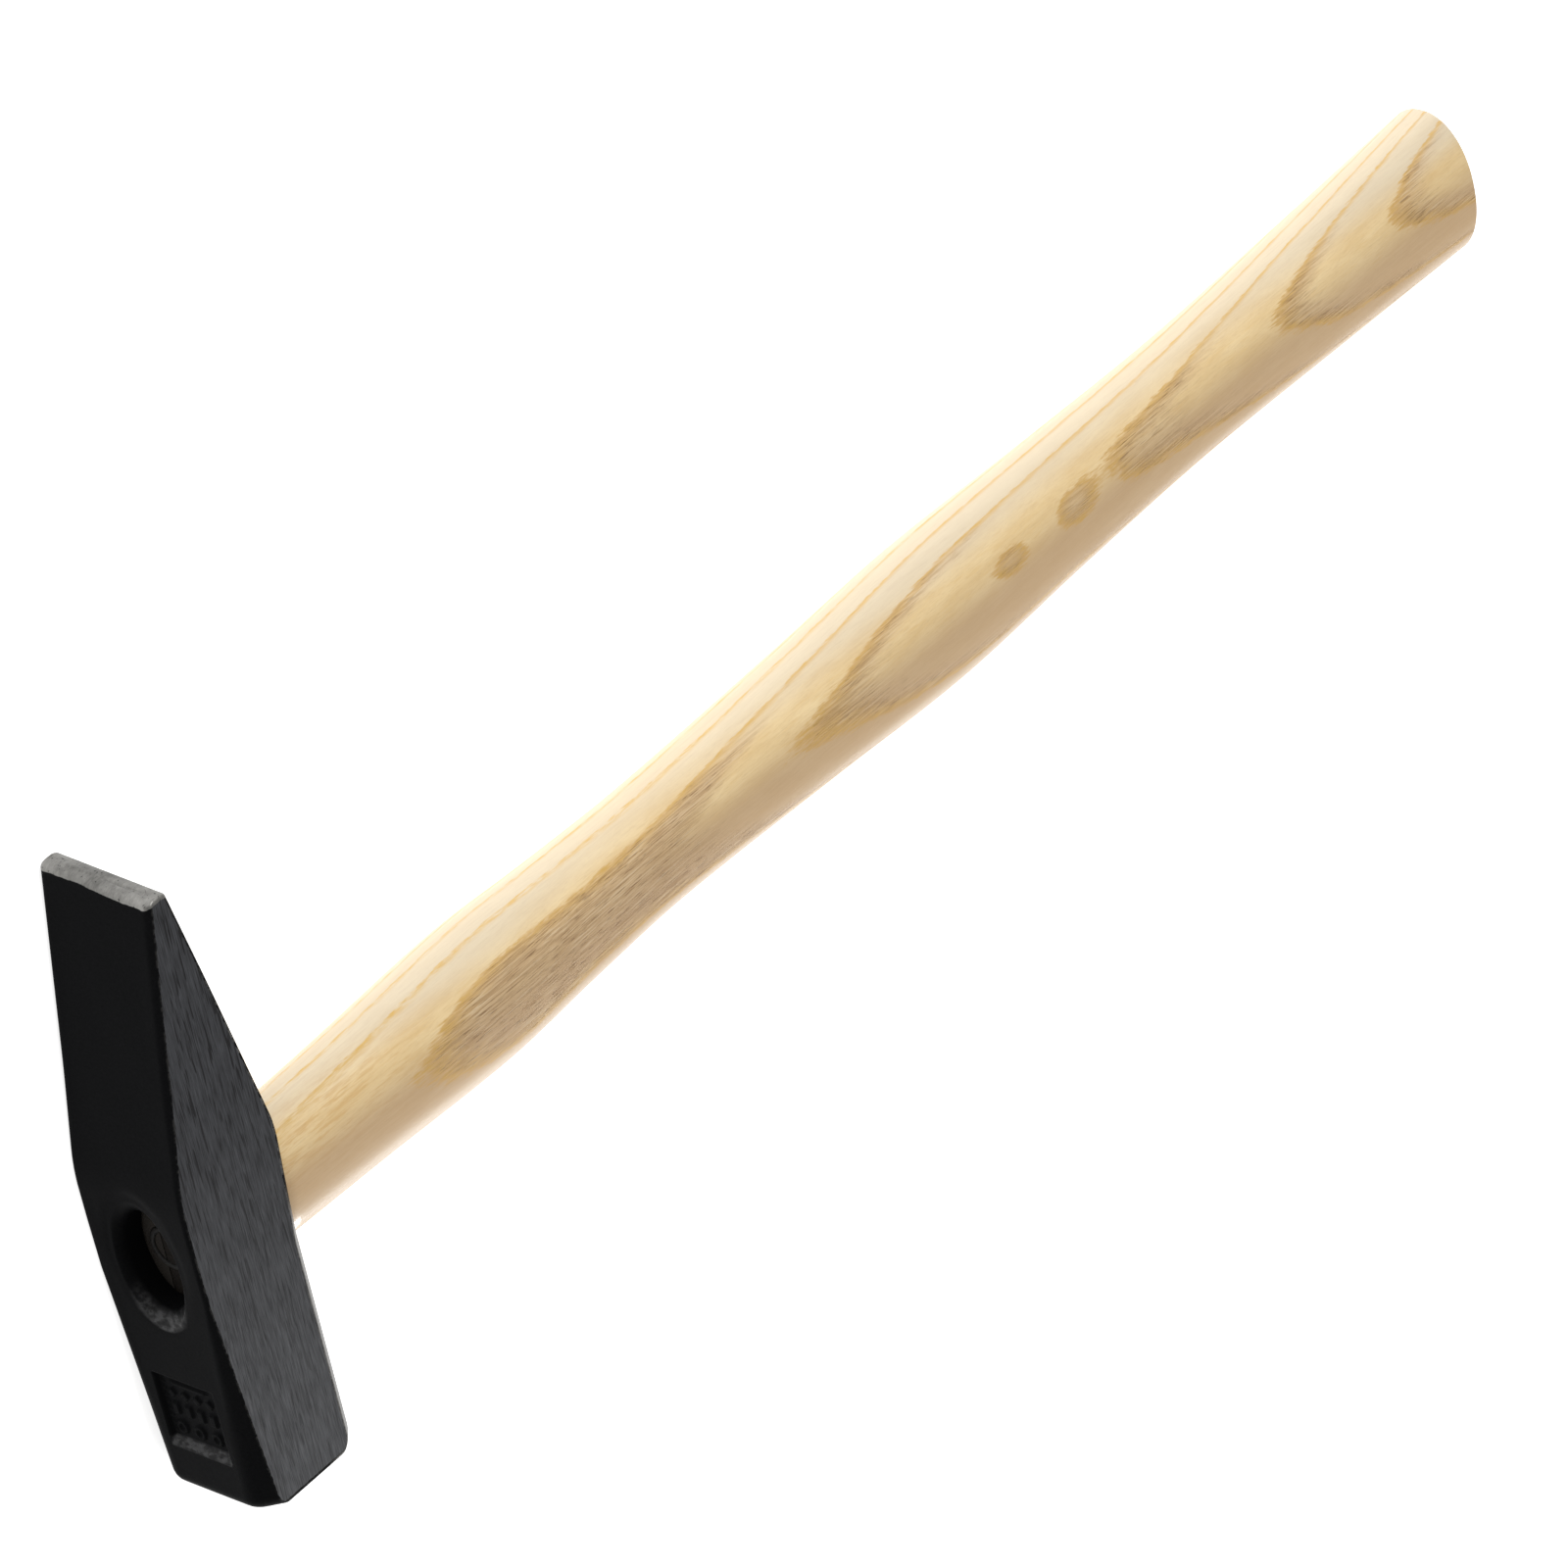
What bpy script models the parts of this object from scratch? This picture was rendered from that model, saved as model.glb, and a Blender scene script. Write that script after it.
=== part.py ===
"""Cross-peen bench hammer: a forged steel head on an oval ash handle.

Frame: +X runs along the handle from the head to the butt, +Y towards the
cross peen, +Z is up. The hammer lies on its lower cheek. The origin is on
that cheek, straight under the middle of the eye, so the handle's axis runs
along X at half the cheek width above the origin. Lengths are in metres.
"""

import math

import bmesh
import bpy
from mathutils import Vector

# Fit between pieces that are driven into each other
FIT_GAP = 0.0003

# Head: the forged block
CHEEK_WIDTH = 0.0190            # Z, from one ground cheek to the other
OUTER_DEPTH = 0.0096            # X, from the eye's middle to the outer side
INNER_DEPTH = 0.0095            # X, from the eye's middle to the handle's side
FACE_REACH = 0.0393             # Y, from the eye's middle to the striking face
PEEN_REACH = 0.0559             # Y, from the eye's middle to the peen's edge
PEEN_THICKNESS = 0.0034         # X, of the blunt edge
PEEN_SHOULDER = 0.0127          # Y where the peen's flanks would meet the body
FLANK_BEND_RADIUS = 0.032       # the soft bend between body and flank
OUTER_TAPER = 0.00065           # what the outer side loses on its way to the face
OUTER_TAPER_START = 0.0050      # Y where it starts to lose it
EDGE_BREAK = 0.0002             # on every long edge that has no chamfer
PEEN_EDGE_BREAK = 0.0004        # along the peen's two long edges

# Head: chamfers that start at the eye and widen towards the face
OUTER_CHAMFER_START = -0.0030   # Y where the outer pair begins
OUTER_CHAMFER_X = 0.0027        # legs at the striking face
OUTER_CHAMFER_Z = 0.0028
INNER_CHAMFER_START = 0.0140    # Y where the pair on the handle's side begins
INNER_CHAMFER_FULL = -0.0050    # Y from which it keeps its full legs
INNER_CHAMFER_X = 0.0020
INNER_CHAMFER_Z = 0.00175

# Head: rounding of the striking face's rim
RIM_RADIUS_X = 0.0026
RIM_RADIUS_Z = 0.0006
RIM_STEPS = 5

# Head: the oval eye
EYE_LENGTH = 0.0158             # Y
EYE_WIDTH = 0.0098              # Z
EYE_FLARE_LENGTH = 0.0043       # how much longer the outer mouth is
EYE_FLARE_WIDTH = 0.0012
EYE_FLARE_DEPTH = 0.0014
NECK_FLARE = 0.0016             # how much larger the handle's mouth is
NECK_FLARE_DEPTH = 0.0010
EYE_SEGMENTS = 64

# Head: the sunk panel between the eye and the face
PANEL_TOP = -0.0190             # Y of its edge on the eye's side
PANEL_BOTTOM = -0.0312          # Y of its edge on the face's side
PANEL_HALF_WIDTH = 0.0054
PANEL_DEPTH = 0.0009
PANEL_SIDE_SLOPE = 0.0003       # how far each side wall leans outwards
PANEL_RAMP = 0.0011             # the same for the wall on the face's side

# Handle
TENON_RECESS = 0.0045           # from the head's outer side down to the tenon
SHOULDER_LENGTH = 0.0030        # from the head to the full neck
HANDLE_SQUARENESS = 2.15        # 2 is an ellipse, more is a squarer oval
HANDLE_SEGMENTS = 44
HANDLE_STEP = 0.0065            # between two rings of the handle's surface
BUTT_ROUNDING = 0.0010

# Stations of the handle: X, middle along Y, half height (Y), half thickness (Z)
NECK = (0.0125, -0.00040, 0.00960, 0.00640)
NECK_SWELL = (0.0300, -0.00035, 0.00995, 0.00700)
SWELL = (0.0550, -0.00025, 0.01073, 0.00783)
SWELL_END = (0.0735, -0.00020, 0.00985, 0.00726)
FRONT_WAIST = (0.0920, -0.00012, 0.00930, 0.00690)
GRIP_START = (0.1250, -0.00035, 0.01024, 0.00748)
GRIP = (0.1520, -0.00050, 0.01125, 0.00805)
GRIP_END = (0.1800, -0.00035, 0.01038, 0.00741)
REAR_WAIST = (0.2090, -0.00030, 0.00979, 0.00699)
FLARE = (0.2400, -0.00020, 0.01060, 0.00742)
BUTT = (0.2712, 0.0, 0.01185, 0.00765)
STATIONS = (
    NECK, NECK_SWELL, SWELL, SWELL_END, FRONT_WAIST, GRIP_START,
    GRIP, GRIP_END, REAR_WAIST, FLARE, BUTT,
)

# Wooden wedge, driven into the kerf sawn along the tenon's longer axis
WEDGE_LENGTH = 0.0130
WEDGE_THICKNESS = 0.0024        # at its outer end
WEDGE_TIP = 0.0008

# Steel ring wedge, driven in across it
RING_RADIUS = 0.0034
RING_WALL = 0.0009              # at its outer end
RING_EDGE = 0.0003              # wall at its cutting edge
RING_LENGTH = 0.0080
RING_STANDS_OUT = 0.0003        # past the tenon's end
RING_SEGMENTS = 48

# Places that follow from the sizes above
AXIS_Z = CHEEK_WIDTH / 2
TENON_END = -OUTER_DEPTH + TENON_RECESS
EYE_HALF_LENGTH = EYE_LENGTH / 2
EYE_HALF_WIDTH = EYE_WIDTH / 2


def clear_scene():
    """Removes whatever the scene starts with."""
    for thing in list(bpy.data.objects):
        bpy.data.objects.remove(thing, do_unlink=True)


def new_material(name, color, roughness, metallic):
    """A Principled material of one colour and finish."""
    material = bpy.data.materials.new(name)
    material.use_nodes = True
    shader = material.node_tree.nodes["Principled BSDF"]
    shader.inputs["Base Color"].default_value = (*color, 1.0)
    shader.inputs["Roughness"].default_value = roughness
    shader.inputs["Metallic"].default_value = metallic
    material.diffuse_color = (*color, 1.0)
    return material


def loft(name, loops):
    """A closed solid through loops of equally many points, capped at both ends."""
    mesh = bpy.data.meshes.new(name)
    shape = bmesh.new()
    rings = [[shape.verts.new(point) for point in loop] for loop in loops]
    for ring, following in zip(rings, rings[1:]):
        for i, corner in enumerate(ring):
            j = (i + 1) % len(ring)
            shape.faces.new((corner, ring[j], following[j], following[i]))
    shape.faces.new(rings[0])
    shape.faces.new(rings[-1])
    bmesh.ops.recalc_face_normals(shape, faces=shape.faces)
    shape.to_mesh(mesh)
    shape.free()
    piece = bpy.data.objects.new(name, mesh)
    bpy.context.scene.collection.objects.link(piece)
    return piece


def shade_round(piece, sharp_degrees=32):
    """Smooth shading that keeps the real edges sharp."""
    piece.data.shade_smooth()
    piece.data.set_sharp_from_angle(angle=math.radians(sharp_degrees))


def cut(piece, cutter):
    """Takes the cutter's shape out of the piece and keeps the cutter hidden."""
    cutter.hide_render = True
    cutter.display_type = "WIRE"
    modifier = piece.modifiers.new("cut_" + cutter.name, "BOOLEAN")
    modifier.operation = "DIFFERENCE"
    modifier.solver = "EXACT"
    modifier.object = cutter


def oval(x, half_y, half_z, segments, squareness=2.0, middle_y=0.0):
    """A loop of points on an oval that lies across the handle's axis."""
    power = 2.0 / squareness
    points = []
    for i in range(segments):
        turn = 2 * math.pi * i / segments
        side, rise = math.cos(turn), math.sin(turn)
        y = half_y * math.copysign(abs(side) ** power, side)
        z = half_z * math.copysign(abs(rise) ** power, rise)
        points.append((x, middle_y + y, AXIS_Z + z))
    return points


# ---------------------------------------------------------------- the head

def flank_slope():
    """How much depth one flank of the peen loses for each length along Y."""
    return (INNER_DEPTH - PEEN_THICKNESS / 2) / (PEEN_REACH - PEEN_SHOULDER)


def bend_start_and_end():
    """Where along Y the round bend leaves the body and meets the straight flank."""
    angle = math.atan(flank_slope())
    tangent = FLANK_BEND_RADIUS * math.tan(angle / 2)
    return PEEN_SHOULDER - tangent, PEEN_SHOULDER + tangent * math.cos(angle)


def flank_loss(y):
    """How far both flanks have drawn in at y: nothing, round bend, straight flank."""
    start, end = bend_start_and_end()
    if y <= start:
        return 0.0
    if y >= end:
        return flank_slope() * (y - PEEN_SHOULDER)
    return FLANK_BEND_RADIUS - math.sqrt(FLANK_BEND_RADIUS ** 2 - (y - start) ** 2)


def outer_depth(y):
    """The outer side's distance from the handle's axis at y.

    Its extra depth over the handle's side fades out along the peen, and it
    tapers towards the striking face.
    """
    extra = OUTER_DEPTH - INNER_DEPTH
    start = bend_start_and_end()[0]
    fade = min(max((y - start) / (PEEN_REACH - start), 0.0), 1.0)
    taper = max((OUTER_TAPER_START - y) / (OUTER_TAPER_START + FACE_REACH), 0.0)
    return OUTER_DEPTH - extra * fade - OUTER_TAPER * taper - flank_loss(y)


def inner_depth(y):
    """The handle's side's distance from the handle's axis at y."""
    return INNER_DEPTH - flank_loss(y)


def bend_stations(steps=5):
    """Places along Y where the bend between body and flank needs a section."""
    start, end = bend_start_and_end()
    return [start + (end - start) * i / steps for i in range(steps + 1)]


def chamfer_leg(y, start, full, leg):
    """A chamfer's leg at y: an edge break before its start, all of it when full."""
    share = min(max((start - y) / (start - full), 0.0), 1.0)
    return EDGE_BREAK + (leg - EDGE_BREAK) * share


def head_section(y, inset_x=0.0, inset_z=0.0):
    """The eight corners of the head's section at y, inset on its four sides."""
    outer = outer_depth(y) - inset_x
    inner = inner_depth(y) - inset_x
    half_z = CHEEK_WIDTH / 2 - inset_z
    outer_x = chamfer_leg(y, OUTER_CHAMFER_START, -FACE_REACH, OUTER_CHAMFER_X)
    outer_z = chamfer_leg(y, OUTER_CHAMFER_START, -FACE_REACH, OUTER_CHAMFER_Z)
    inner_x = chamfer_leg(y, INNER_CHAMFER_START, INNER_CHAMFER_FULL, INNER_CHAMFER_X)
    inner_z = chamfer_leg(y, INNER_CHAMFER_START, INNER_CHAMFER_FULL, INNER_CHAMFER_Z)
    corners = (
        (-outer, half_z - outer_z), (-outer + outer_x, half_z),
        (inner - inner_x, half_z), (inner, half_z - inner_z),
        (inner, -half_z + inner_z), (inner - inner_x, -half_z),
        (-outer + outer_x, -half_z), (-outer, -half_z + outer_z),
    )
    return [(x, y, AXIS_Z + z) for x, z in corners]


def rim_inset(distance, radius):
    """How far a rounded rim draws in at this distance from the face's plane."""
    if distance >= radius:
        return 0.0
    return radius - math.sqrt(radius ** 2 - (radius - distance) ** 2)


def head_loops():
    """Sections of the head from the striking face up to the peen's edge."""
    loops = []
    for i in range(RIM_STEPS + 1):
        distance = RIM_RADIUS_X * (1 - math.cos(math.pi / 2 * i / RIM_STEPS))
        inset_x = rim_inset(distance, RIM_RADIUS_X)
        inset_z = rim_inset(distance, RIM_RADIUS_Z)
        loops.append(head_section(-FACE_REACH + distance, inset_x, inset_z))
    places = [INNER_CHAMFER_FULL, OUTER_CHAMFER_START, OUTER_TAPER_START, INNER_CHAMFER_START]
    places += bend_stations()
    places.append(PEEN_REACH - PEEN_EDGE_BREAK)
    loops += [head_section(y) for y in sorted(places)]
    loops.append(head_section(PEEN_REACH, PEEN_EDGE_BREAK, PEEN_EDGE_BREAK))
    return loops


def eye_cutter():
    """The eye: an oval hole, flared at its outer mouth and at the handle's side."""
    outer_slope_y = EYE_FLARE_LENGTH / 2 / EYE_FLARE_DEPTH
    outer_slope_z = EYE_FLARE_WIDTH / 2 / EYE_FLARE_DEPTH
    neck_slope = NECK_FLARE / 2 / NECK_FLARE_DEPTH
    beyond = 0.5 * EYE_FLARE_DEPTH
    stations = (
        (-OUTER_DEPTH - beyond, outer_slope_y * (EYE_FLARE_DEPTH + beyond),
         outer_slope_z * (EYE_FLARE_DEPTH + beyond)),
        (-OUTER_DEPTH + EYE_FLARE_DEPTH, 0.0, 0.0),
        (INNER_DEPTH - NECK_FLARE_DEPTH, 0.0, 0.0),
        (INNER_DEPTH + beyond, neck_slope * (NECK_FLARE_DEPTH + beyond),
         neck_slope * (NECK_FLARE_DEPTH + beyond)),
    )
    loops = [
        oval(x, EYE_HALF_LENGTH + grow_y, EYE_HALF_WIDTH + grow_z, EYE_SEGMENTS)
        for x, grow_y, grow_z in stations
    ]
    return loft("eye_cutter", loops)


def panel_cutter():
    """The sunk panel: a tray with leaning walls and a ramp at the face's end.

    Its floor lies parallel to the tapered outer side, one panel depth below it.
    """
    loops = []
    for depth in (-PANEL_DEPTH, PANEL_DEPTH):
        lean = (PANEL_DEPTH + depth) / PANEL_DEPTH - 1
        side = PANEL_HALF_WIDTH - PANEL_SIDE_SLOPE * lean
        top = PANEL_TOP - PANEL_SIDE_SLOPE * lean
        bottom = PANEL_BOTTOM + PANEL_RAMP * lean
        corners = ((top, side), (top, -side), (bottom, -side), (bottom, side))
        loops.append([(depth - outer_depth(y), y, AXIS_Z + z) for y, z in corners])
    return loft("panel_cutter", loops)


def make_head():
    head = loft("hammer_head", head_loops())
    cut(head, eye_cutter())
    cut(head, panel_cutter())
    head.data.materials.append(new_material("blackened_steel", (0.035, 0.036, 0.038), 0.42, 0.6))
    shade_round(head)
    return head


# -------------------------------------------------------------- the handle

def smooth_between(stations, x):
    """The middle, half height and half thickness at x, on a smooth curve."""
    count = len(stations)
    k = 0
    while k < count - 2 and x > stations[k + 1][0]:
        k += 1
    before, start = stations[max(k - 1, 0)], stations[k]
    end, after = stations[k + 1], stations[min(k + 2, count - 1)]
    span = end[0] - start[0]
    t = (x - start[0]) / span
    sizes = []
    for axis in (1, 2, 3):
        slope_start = (end[axis] - before[axis]) / (end[0] - before[0])
        slope_end = (after[axis] - start[axis]) / (after[0] - start[0])
        sizes.append(
            (2 * t ** 3 - 3 * t ** 2 + 1) * start[axis]
            + (t ** 3 - 2 * t ** 2 + t) * span * slope_start
            + (3 * t ** 2 - 2 * t ** 3) * end[axis]
            + (t ** 3 - t ** 2) * span * slope_end
        )
    return sizes


def handle_oval(x, middle, half_y, half_z):
    """A ring of the shaped handle, a little squarer than an ellipse."""
    return oval(x, half_y, half_z, HANDLE_SEGMENTS, HANDLE_SQUARENESS, middle)


def handle_loops():
    """Rings of the handle: tenon, flared shoulder, shaped grip and rounded butt."""
    tenon_y, tenon_z = EYE_HALF_LENGTH - FIT_GAP, EYE_HALF_WIDTH - FIT_GAP
    mouth_y, mouth_z = tenon_y + NECK_FLARE / 2, tenon_z + NECK_FLARE / 2
    outside = INNER_DEPTH + FIT_GAP
    loops = [
        oval(TENON_END, tenon_y, tenon_z, HANDLE_SEGMENTS),
        oval(INNER_DEPTH - NECK_FLARE_DEPTH, tenon_y, tenon_z, HANDLE_SEGMENTS),
        oval(INNER_DEPTH, mouth_y, mouth_z, HANDLE_SEGMENTS),
        oval(outside, mouth_y, mouth_z, HANDLE_SEGMENTS),
    ]
    first = outside + SHOULDER_LENGTH
    middle, neck_y, neck_z = smooth_between(STATIONS, first)
    for share in (0.4, 0.75):
        bulge = math.sin(share * math.pi / 2)
        loops.append(handle_oval(
            outside + SHOULDER_LENGTH * share, middle * bulge,
            mouth_y + (neck_y - mouth_y) * bulge, mouth_z + (neck_z - mouth_z) * bulge,
        ))
    last = BUTT[0] - BUTT_ROUNDING
    steps = round((last - first) / HANDLE_STEP)
    for i in range(steps + 1):
        x = first + (last - first) * i / steps
        loops.append(handle_oval(x, *smooth_between(STATIONS, x)))
    for i in range(1, 4):
        turn = math.pi / 2 * i / 3
        x = last + BUTT_ROUNDING * math.sin(turn)
        middle, half_y, half_z = smooth_between(STATIONS, x)
        inset = BUTT_ROUNDING * (1 - math.cos(turn))
        loops.append(handle_oval(x, middle, half_y - inset, half_z - inset))
    return loops


def wedge_loops(grow, reach_y):
    """The wooden wedge's two ends, thick at the tenon's end and thin inside."""
    half_thick = WEDGE_THICKNESS / 2 + grow
    half_tip = WEDGE_TIP / 2 + grow
    loops = []
    for x, half_z in ((TENON_END - grow, half_thick), (TENON_END + WEDGE_LENGTH + grow, half_tip)):
        corners = ((reach_y, half_z), (-reach_y, half_z), (-reach_y, -half_z), (reach_y, -half_z))
        loops.append([(x, y, AXIS_Z + z) for y, z in corners])
    return loops


def wedge_half_height():
    """The widest the wedge can be and still clear the oval eye by the fit gap."""
    share = WEDGE_THICKNESS / 2 / (EYE_HALF_WIDTH - FIT_GAP)
    return (EYE_HALF_LENGTH - FIT_GAP) * math.sqrt(1 - share ** 2)


def ring_profile(grow):
    """Four corners of the ring wedge's wall, as (x, radius), grown on all sides."""
    outer_end = TENON_END - RING_STANDS_OUT - grow
    inner_end = TENON_END - RING_STANDS_OUT + RING_LENGTH + grow
    return (
        (outer_end, RING_RADIUS + grow),
        (inner_end, RING_RADIUS + grow),
        (inner_end, RING_RADIUS - RING_EDGE - grow),
        (outer_end, RING_RADIUS - RING_WALL - grow),
    )


def turned_ring(name, grow):
    """The ring wedge's wall turned about the handle's axis."""
    mesh = bpy.data.meshes.new(name)
    shape = bmesh.new()
    rings = []
    for i in range(RING_SEGMENTS):
        turn = 2 * math.pi * i / RING_SEGMENTS
        rings.append([
            shape.verts.new(Vector((x, r * math.cos(turn), AXIS_Z + r * math.sin(turn))))
            for x, r in ring_profile(grow)
        ])
    for i, ring in enumerate(rings):
        following = rings[(i + 1) % RING_SEGMENTS]
        for j in range(len(ring)):
            k = (j + 1) % len(ring)
            shape.faces.new((ring[j], ring[k], following[k], following[j]))
    bmesh.ops.recalc_face_normals(shape, faces=shape.faces)
    shape.to_mesh(mesh)
    shape.free()
    piece = bpy.data.objects.new(name, mesh)
    bpy.context.scene.collection.objects.link(piece)
    return piece


def make_handle():
    handle = loft("handle", handle_loops())
    kerf = loft("kerf_cutter", wedge_loops(FIT_GAP, EYE_LENGTH))
    cut(handle, kerf)
    cut(handle, turned_ring("handle_ring_cutter", FIT_GAP))
    handle.data.materials.append(new_material("ash", (0.80, 0.62, 0.38), 0.45, 0.0))
    shade_round(handle)
    return handle


def make_wedges():
    wedge = loft("wood_wedge", wedge_loops(0.0, wedge_half_height()))
    cut(wedge, turned_ring("wedge_ring_cutter", FIT_GAP))
    wedge.data.materials.append(new_material("beech", (0.55, 0.38, 0.22), 0.6, 0.0))
    ring = turned_ring("ring_wedge", 0.0)
    ring.data.materials.append(new_material("bright_steel", (0.45, 0.45, 0.46), 0.35, 1.0))
    shade_round(ring)
    return wedge, ring


clear_scene()
make_head()
make_handle()
make_wedges()
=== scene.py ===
# %% [markdown]
# # A cross-peen bench hammer
#
# This lesson finishes a forged hammer: a blackened steel head, an ash handle,
# and the two wedges that hold them together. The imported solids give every
# place and size. The surfaces are worked out with numpy, and the finishes are
# node trees written as plain sums. Lengths are in millimetres until a mesh is
# made, because a maker thinks of this object in millimetres.

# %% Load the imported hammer
import math

import bpy
import numpy as np
from mathutils import Matrix, Vector


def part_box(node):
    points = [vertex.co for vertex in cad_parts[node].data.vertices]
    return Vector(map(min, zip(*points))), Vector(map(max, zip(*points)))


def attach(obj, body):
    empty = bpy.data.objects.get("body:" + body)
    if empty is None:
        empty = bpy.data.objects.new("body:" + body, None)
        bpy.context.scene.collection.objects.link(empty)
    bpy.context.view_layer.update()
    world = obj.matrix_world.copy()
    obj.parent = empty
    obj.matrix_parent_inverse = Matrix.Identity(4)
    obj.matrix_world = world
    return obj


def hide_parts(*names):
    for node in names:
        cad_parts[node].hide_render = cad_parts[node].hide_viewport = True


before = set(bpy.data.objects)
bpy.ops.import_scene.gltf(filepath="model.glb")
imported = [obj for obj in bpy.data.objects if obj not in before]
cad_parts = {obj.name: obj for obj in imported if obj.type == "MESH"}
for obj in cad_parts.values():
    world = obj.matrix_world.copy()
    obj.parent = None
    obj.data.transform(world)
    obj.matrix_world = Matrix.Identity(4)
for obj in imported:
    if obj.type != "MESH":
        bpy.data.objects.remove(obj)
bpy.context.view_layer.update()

MM = 0.001


def box_mm(node):
    """A node's lowest and highest corner, in millimetres."""
    low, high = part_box(node)
    return np.array(low) / MM, np.array(high) / MM


HEAD_LOW, HEAD_HIGH = box_mm("hammer_head")
HANDLE_LOW, HANDLE_HIGH = box_mm("handle")
OUTER_X, INNER_X = -HEAD_LOW[0], HEAD_HIGH[0]
FACE_Y, NOSE_Y = HEAD_LOW[1], HEAD_HIGH[1]
HALF_WIDTH = HEAD_HIGH[2] / 2
AXIS_Z = HALF_WIDTH
print("head", HEAD_LOW, HEAD_HIGH, "handle", HANDLE_LOW, HANDLE_HIGH)

# %% [markdown]
# ## From arrays to a mesh
#
# Every new piece is one closed skin: an array of points, and an array of
# four-sided or three-sided faces that name their corners. Blender takes such
# arrays whole. A signed volume tells whether the skin faces outwards: it is
# the sum of the small pyramids between each face and the origin, and if it
# comes out negative, every face is turned round.

# %% Mesh helpers
def signed_volume(points, faces):
    """Sum over all faces of the pyramid from the origin, positive if they face out."""
    a, b, c = (points[faces[:, k]] for k in range(3))
    volume = np.einsum("ij,ij->i", a, np.cross(b, c)).sum()
    if faces.shape[1] == 4:
        d = points[faces[:, 3]]
        volume += np.einsum("ij,ij->i", a, np.cross(c, d)).sum()
    return volume / 6


def mesh_piece(name, points, quads, triangles=None):
    """A smooth-shaded mesh object from points in millimetres and index arrays."""
    if triangles is None:
        triangles = np.zeros((0, 3), int)
    volume = signed_volume(points, quads) + signed_volume(points, triangles)
    if volume < 0:
        quads, triangles = quads[:, ::-1], triangles[:, ::-1]
    mesh = bpy.data.meshes.new(name)
    mesh.vertices.add(len(points))
    mesh.vertices.foreach_set("co", (points * MM).astype(np.float32).ravel())
    corners = np.concatenate([quads.ravel(), triangles.ravel()])
    sizes = np.concatenate([np.full(len(quads), 4), np.full(len(triangles), 3)])
    starts = np.concatenate([[0], np.cumsum(sizes)[:-1]])
    mesh.loops.add(len(corners))
    mesh.loops.foreach_set("vertex_index", corners.astype(np.int32))
    mesh.polygons.add(len(sizes))
    mesh.polygons.foreach_set("loop_start", starts.astype(np.int32))
    mesh.update(calc_edges=True)
    mesh.validate()
    mesh.shade_smooth()
    piece = bpy.data.objects.new(name, mesh)
    bpy.context.scene.collection.objects.link(piece)
    print(name, len(points), "points", len(sizes), "faces", round(abs(volume)), "mm3")
    return piece


def point_values(piece, name, values):
    """Stores one number for each point, which a finish can read by name."""
    layer = piece.data.attributes.new(name, "FLOAT", "POINT")
    layer.data.foreach_set("value", values.astype(np.float32))


def tube_quads(rings):
    """Quads between following rings of point indices, closed around each ring."""
    near, far = rings[:-1], rings[1:]
    quads = (near, np.roll(near, -1, axis=1), np.roll(far, -1, axis=1), far)
    return np.stack(quads, axis=-1).reshape(-1, 4)


def ramp(value, start, end):
    """0 before start, 1 after end, straight between; a start above end falls instead."""
    return np.clip((value - start) / (end - start), 0.0, 1.0)


def ease(value, start, end):
    """As ramp, with a soft start and a soft end."""
    t = ramp(value, start, end)
    return t * t * (3 - 2 * t)


def spread(start, end, step):
    """Evenly spaced numbers from start to end, about a step apart."""
    return np.linspace(start, end, max(int(round(abs(end - start) / step)), 1) + 1)


# %% [markdown]
# ## The head's outline
#
# A hammer head is drop-forged from a square bar. Seen from above it is a
# straight body, then a round bend, then two flat flanks that close in on the
# peen. Seen along its length it is a square whose corners are cut by chamfers
# that grow towards the striking face. So the head is a pile of eight-cornered
# sections along Y. It could be carved from a box with modifiers, but a pile of
# sections keeps every edge where the maker wants it.

# %% Depth of both sides along the head
PEEN_HALF = 1.7
SHOULDER_Y = 12.7
BEND_RADIUS = 32.0
TAPER = 0.65
TAPER_START = 5.0
FLANK_SLOPE = (INNER_X - PEEN_HALF) / (NOSE_Y - SHOULDER_Y)
FLANK_ANGLE = math.atan(FLANK_SLOPE)
BEND_TANGENT = BEND_RADIUS * math.tan(FLANK_ANGLE / 2)
BEND_START = SHOULDER_Y - BEND_TANGENT
BEND_END = SHOULDER_Y + BEND_TANGENT * math.cos(FLANK_ANGLE)


def flank_loss(y):
    """How far a side has drawn in: nothing, then a circle's arc, then a straight line."""
    run = np.clip(y - BEND_START, 0, BEND_END - BEND_START)
    arc = BEND_RADIUS - np.sqrt(BEND_RADIUS ** 2 - run ** 2)
    return np.where(y < BEND_END, arc, FLANK_SLOPE * (y - SHOULDER_Y))


def outer_depth(y):
    """Distance of the outer side from the eye's axis; it also tapers to the face."""
    extra = (OUTER_X - INNER_X) * (1 - ramp(y, BEND_START, NOSE_Y))
    return INNER_X + extra - TAPER * ramp(-y, -TAPER_START, -FACE_Y) - flank_loss(y)


def inner_depth(y):
    """Distance of the handle's side from the eye's axis."""
    return INNER_X - flank_loss(y)


print("bend from y", round(BEND_START, 2), "to", round(BEND_END, 2), "mm")
print("each flank leans", round(math.degrees(FLANK_ANGLE), 1), "degrees")

# %% The eight corners of each section, and their rounding
LEAST_LEG = 0.35
FACE_LEGS, PEEN_LEGS, INNER_LEGS = (2.35, 2.45), (0.35, 0.25), (1.65, 1.40)


def chamfer_legs(y):
    """The legs (x, z) of the outer and inner chamfers: the least leg, and what each zone adds."""
    peen = ease(y, 12, 30)
    face = ramp(-y, 3.0, -FACE_Y)
    inner = ramp(-y, -14.0, 5.0)
    return (
        [LEAST_LEG + p * peen + f * face for p, f in zip(PEEN_LEGS, FACE_LEGS)],
        [LEAST_LEG + leg * inner for leg in INNER_LEGS],
    )


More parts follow.
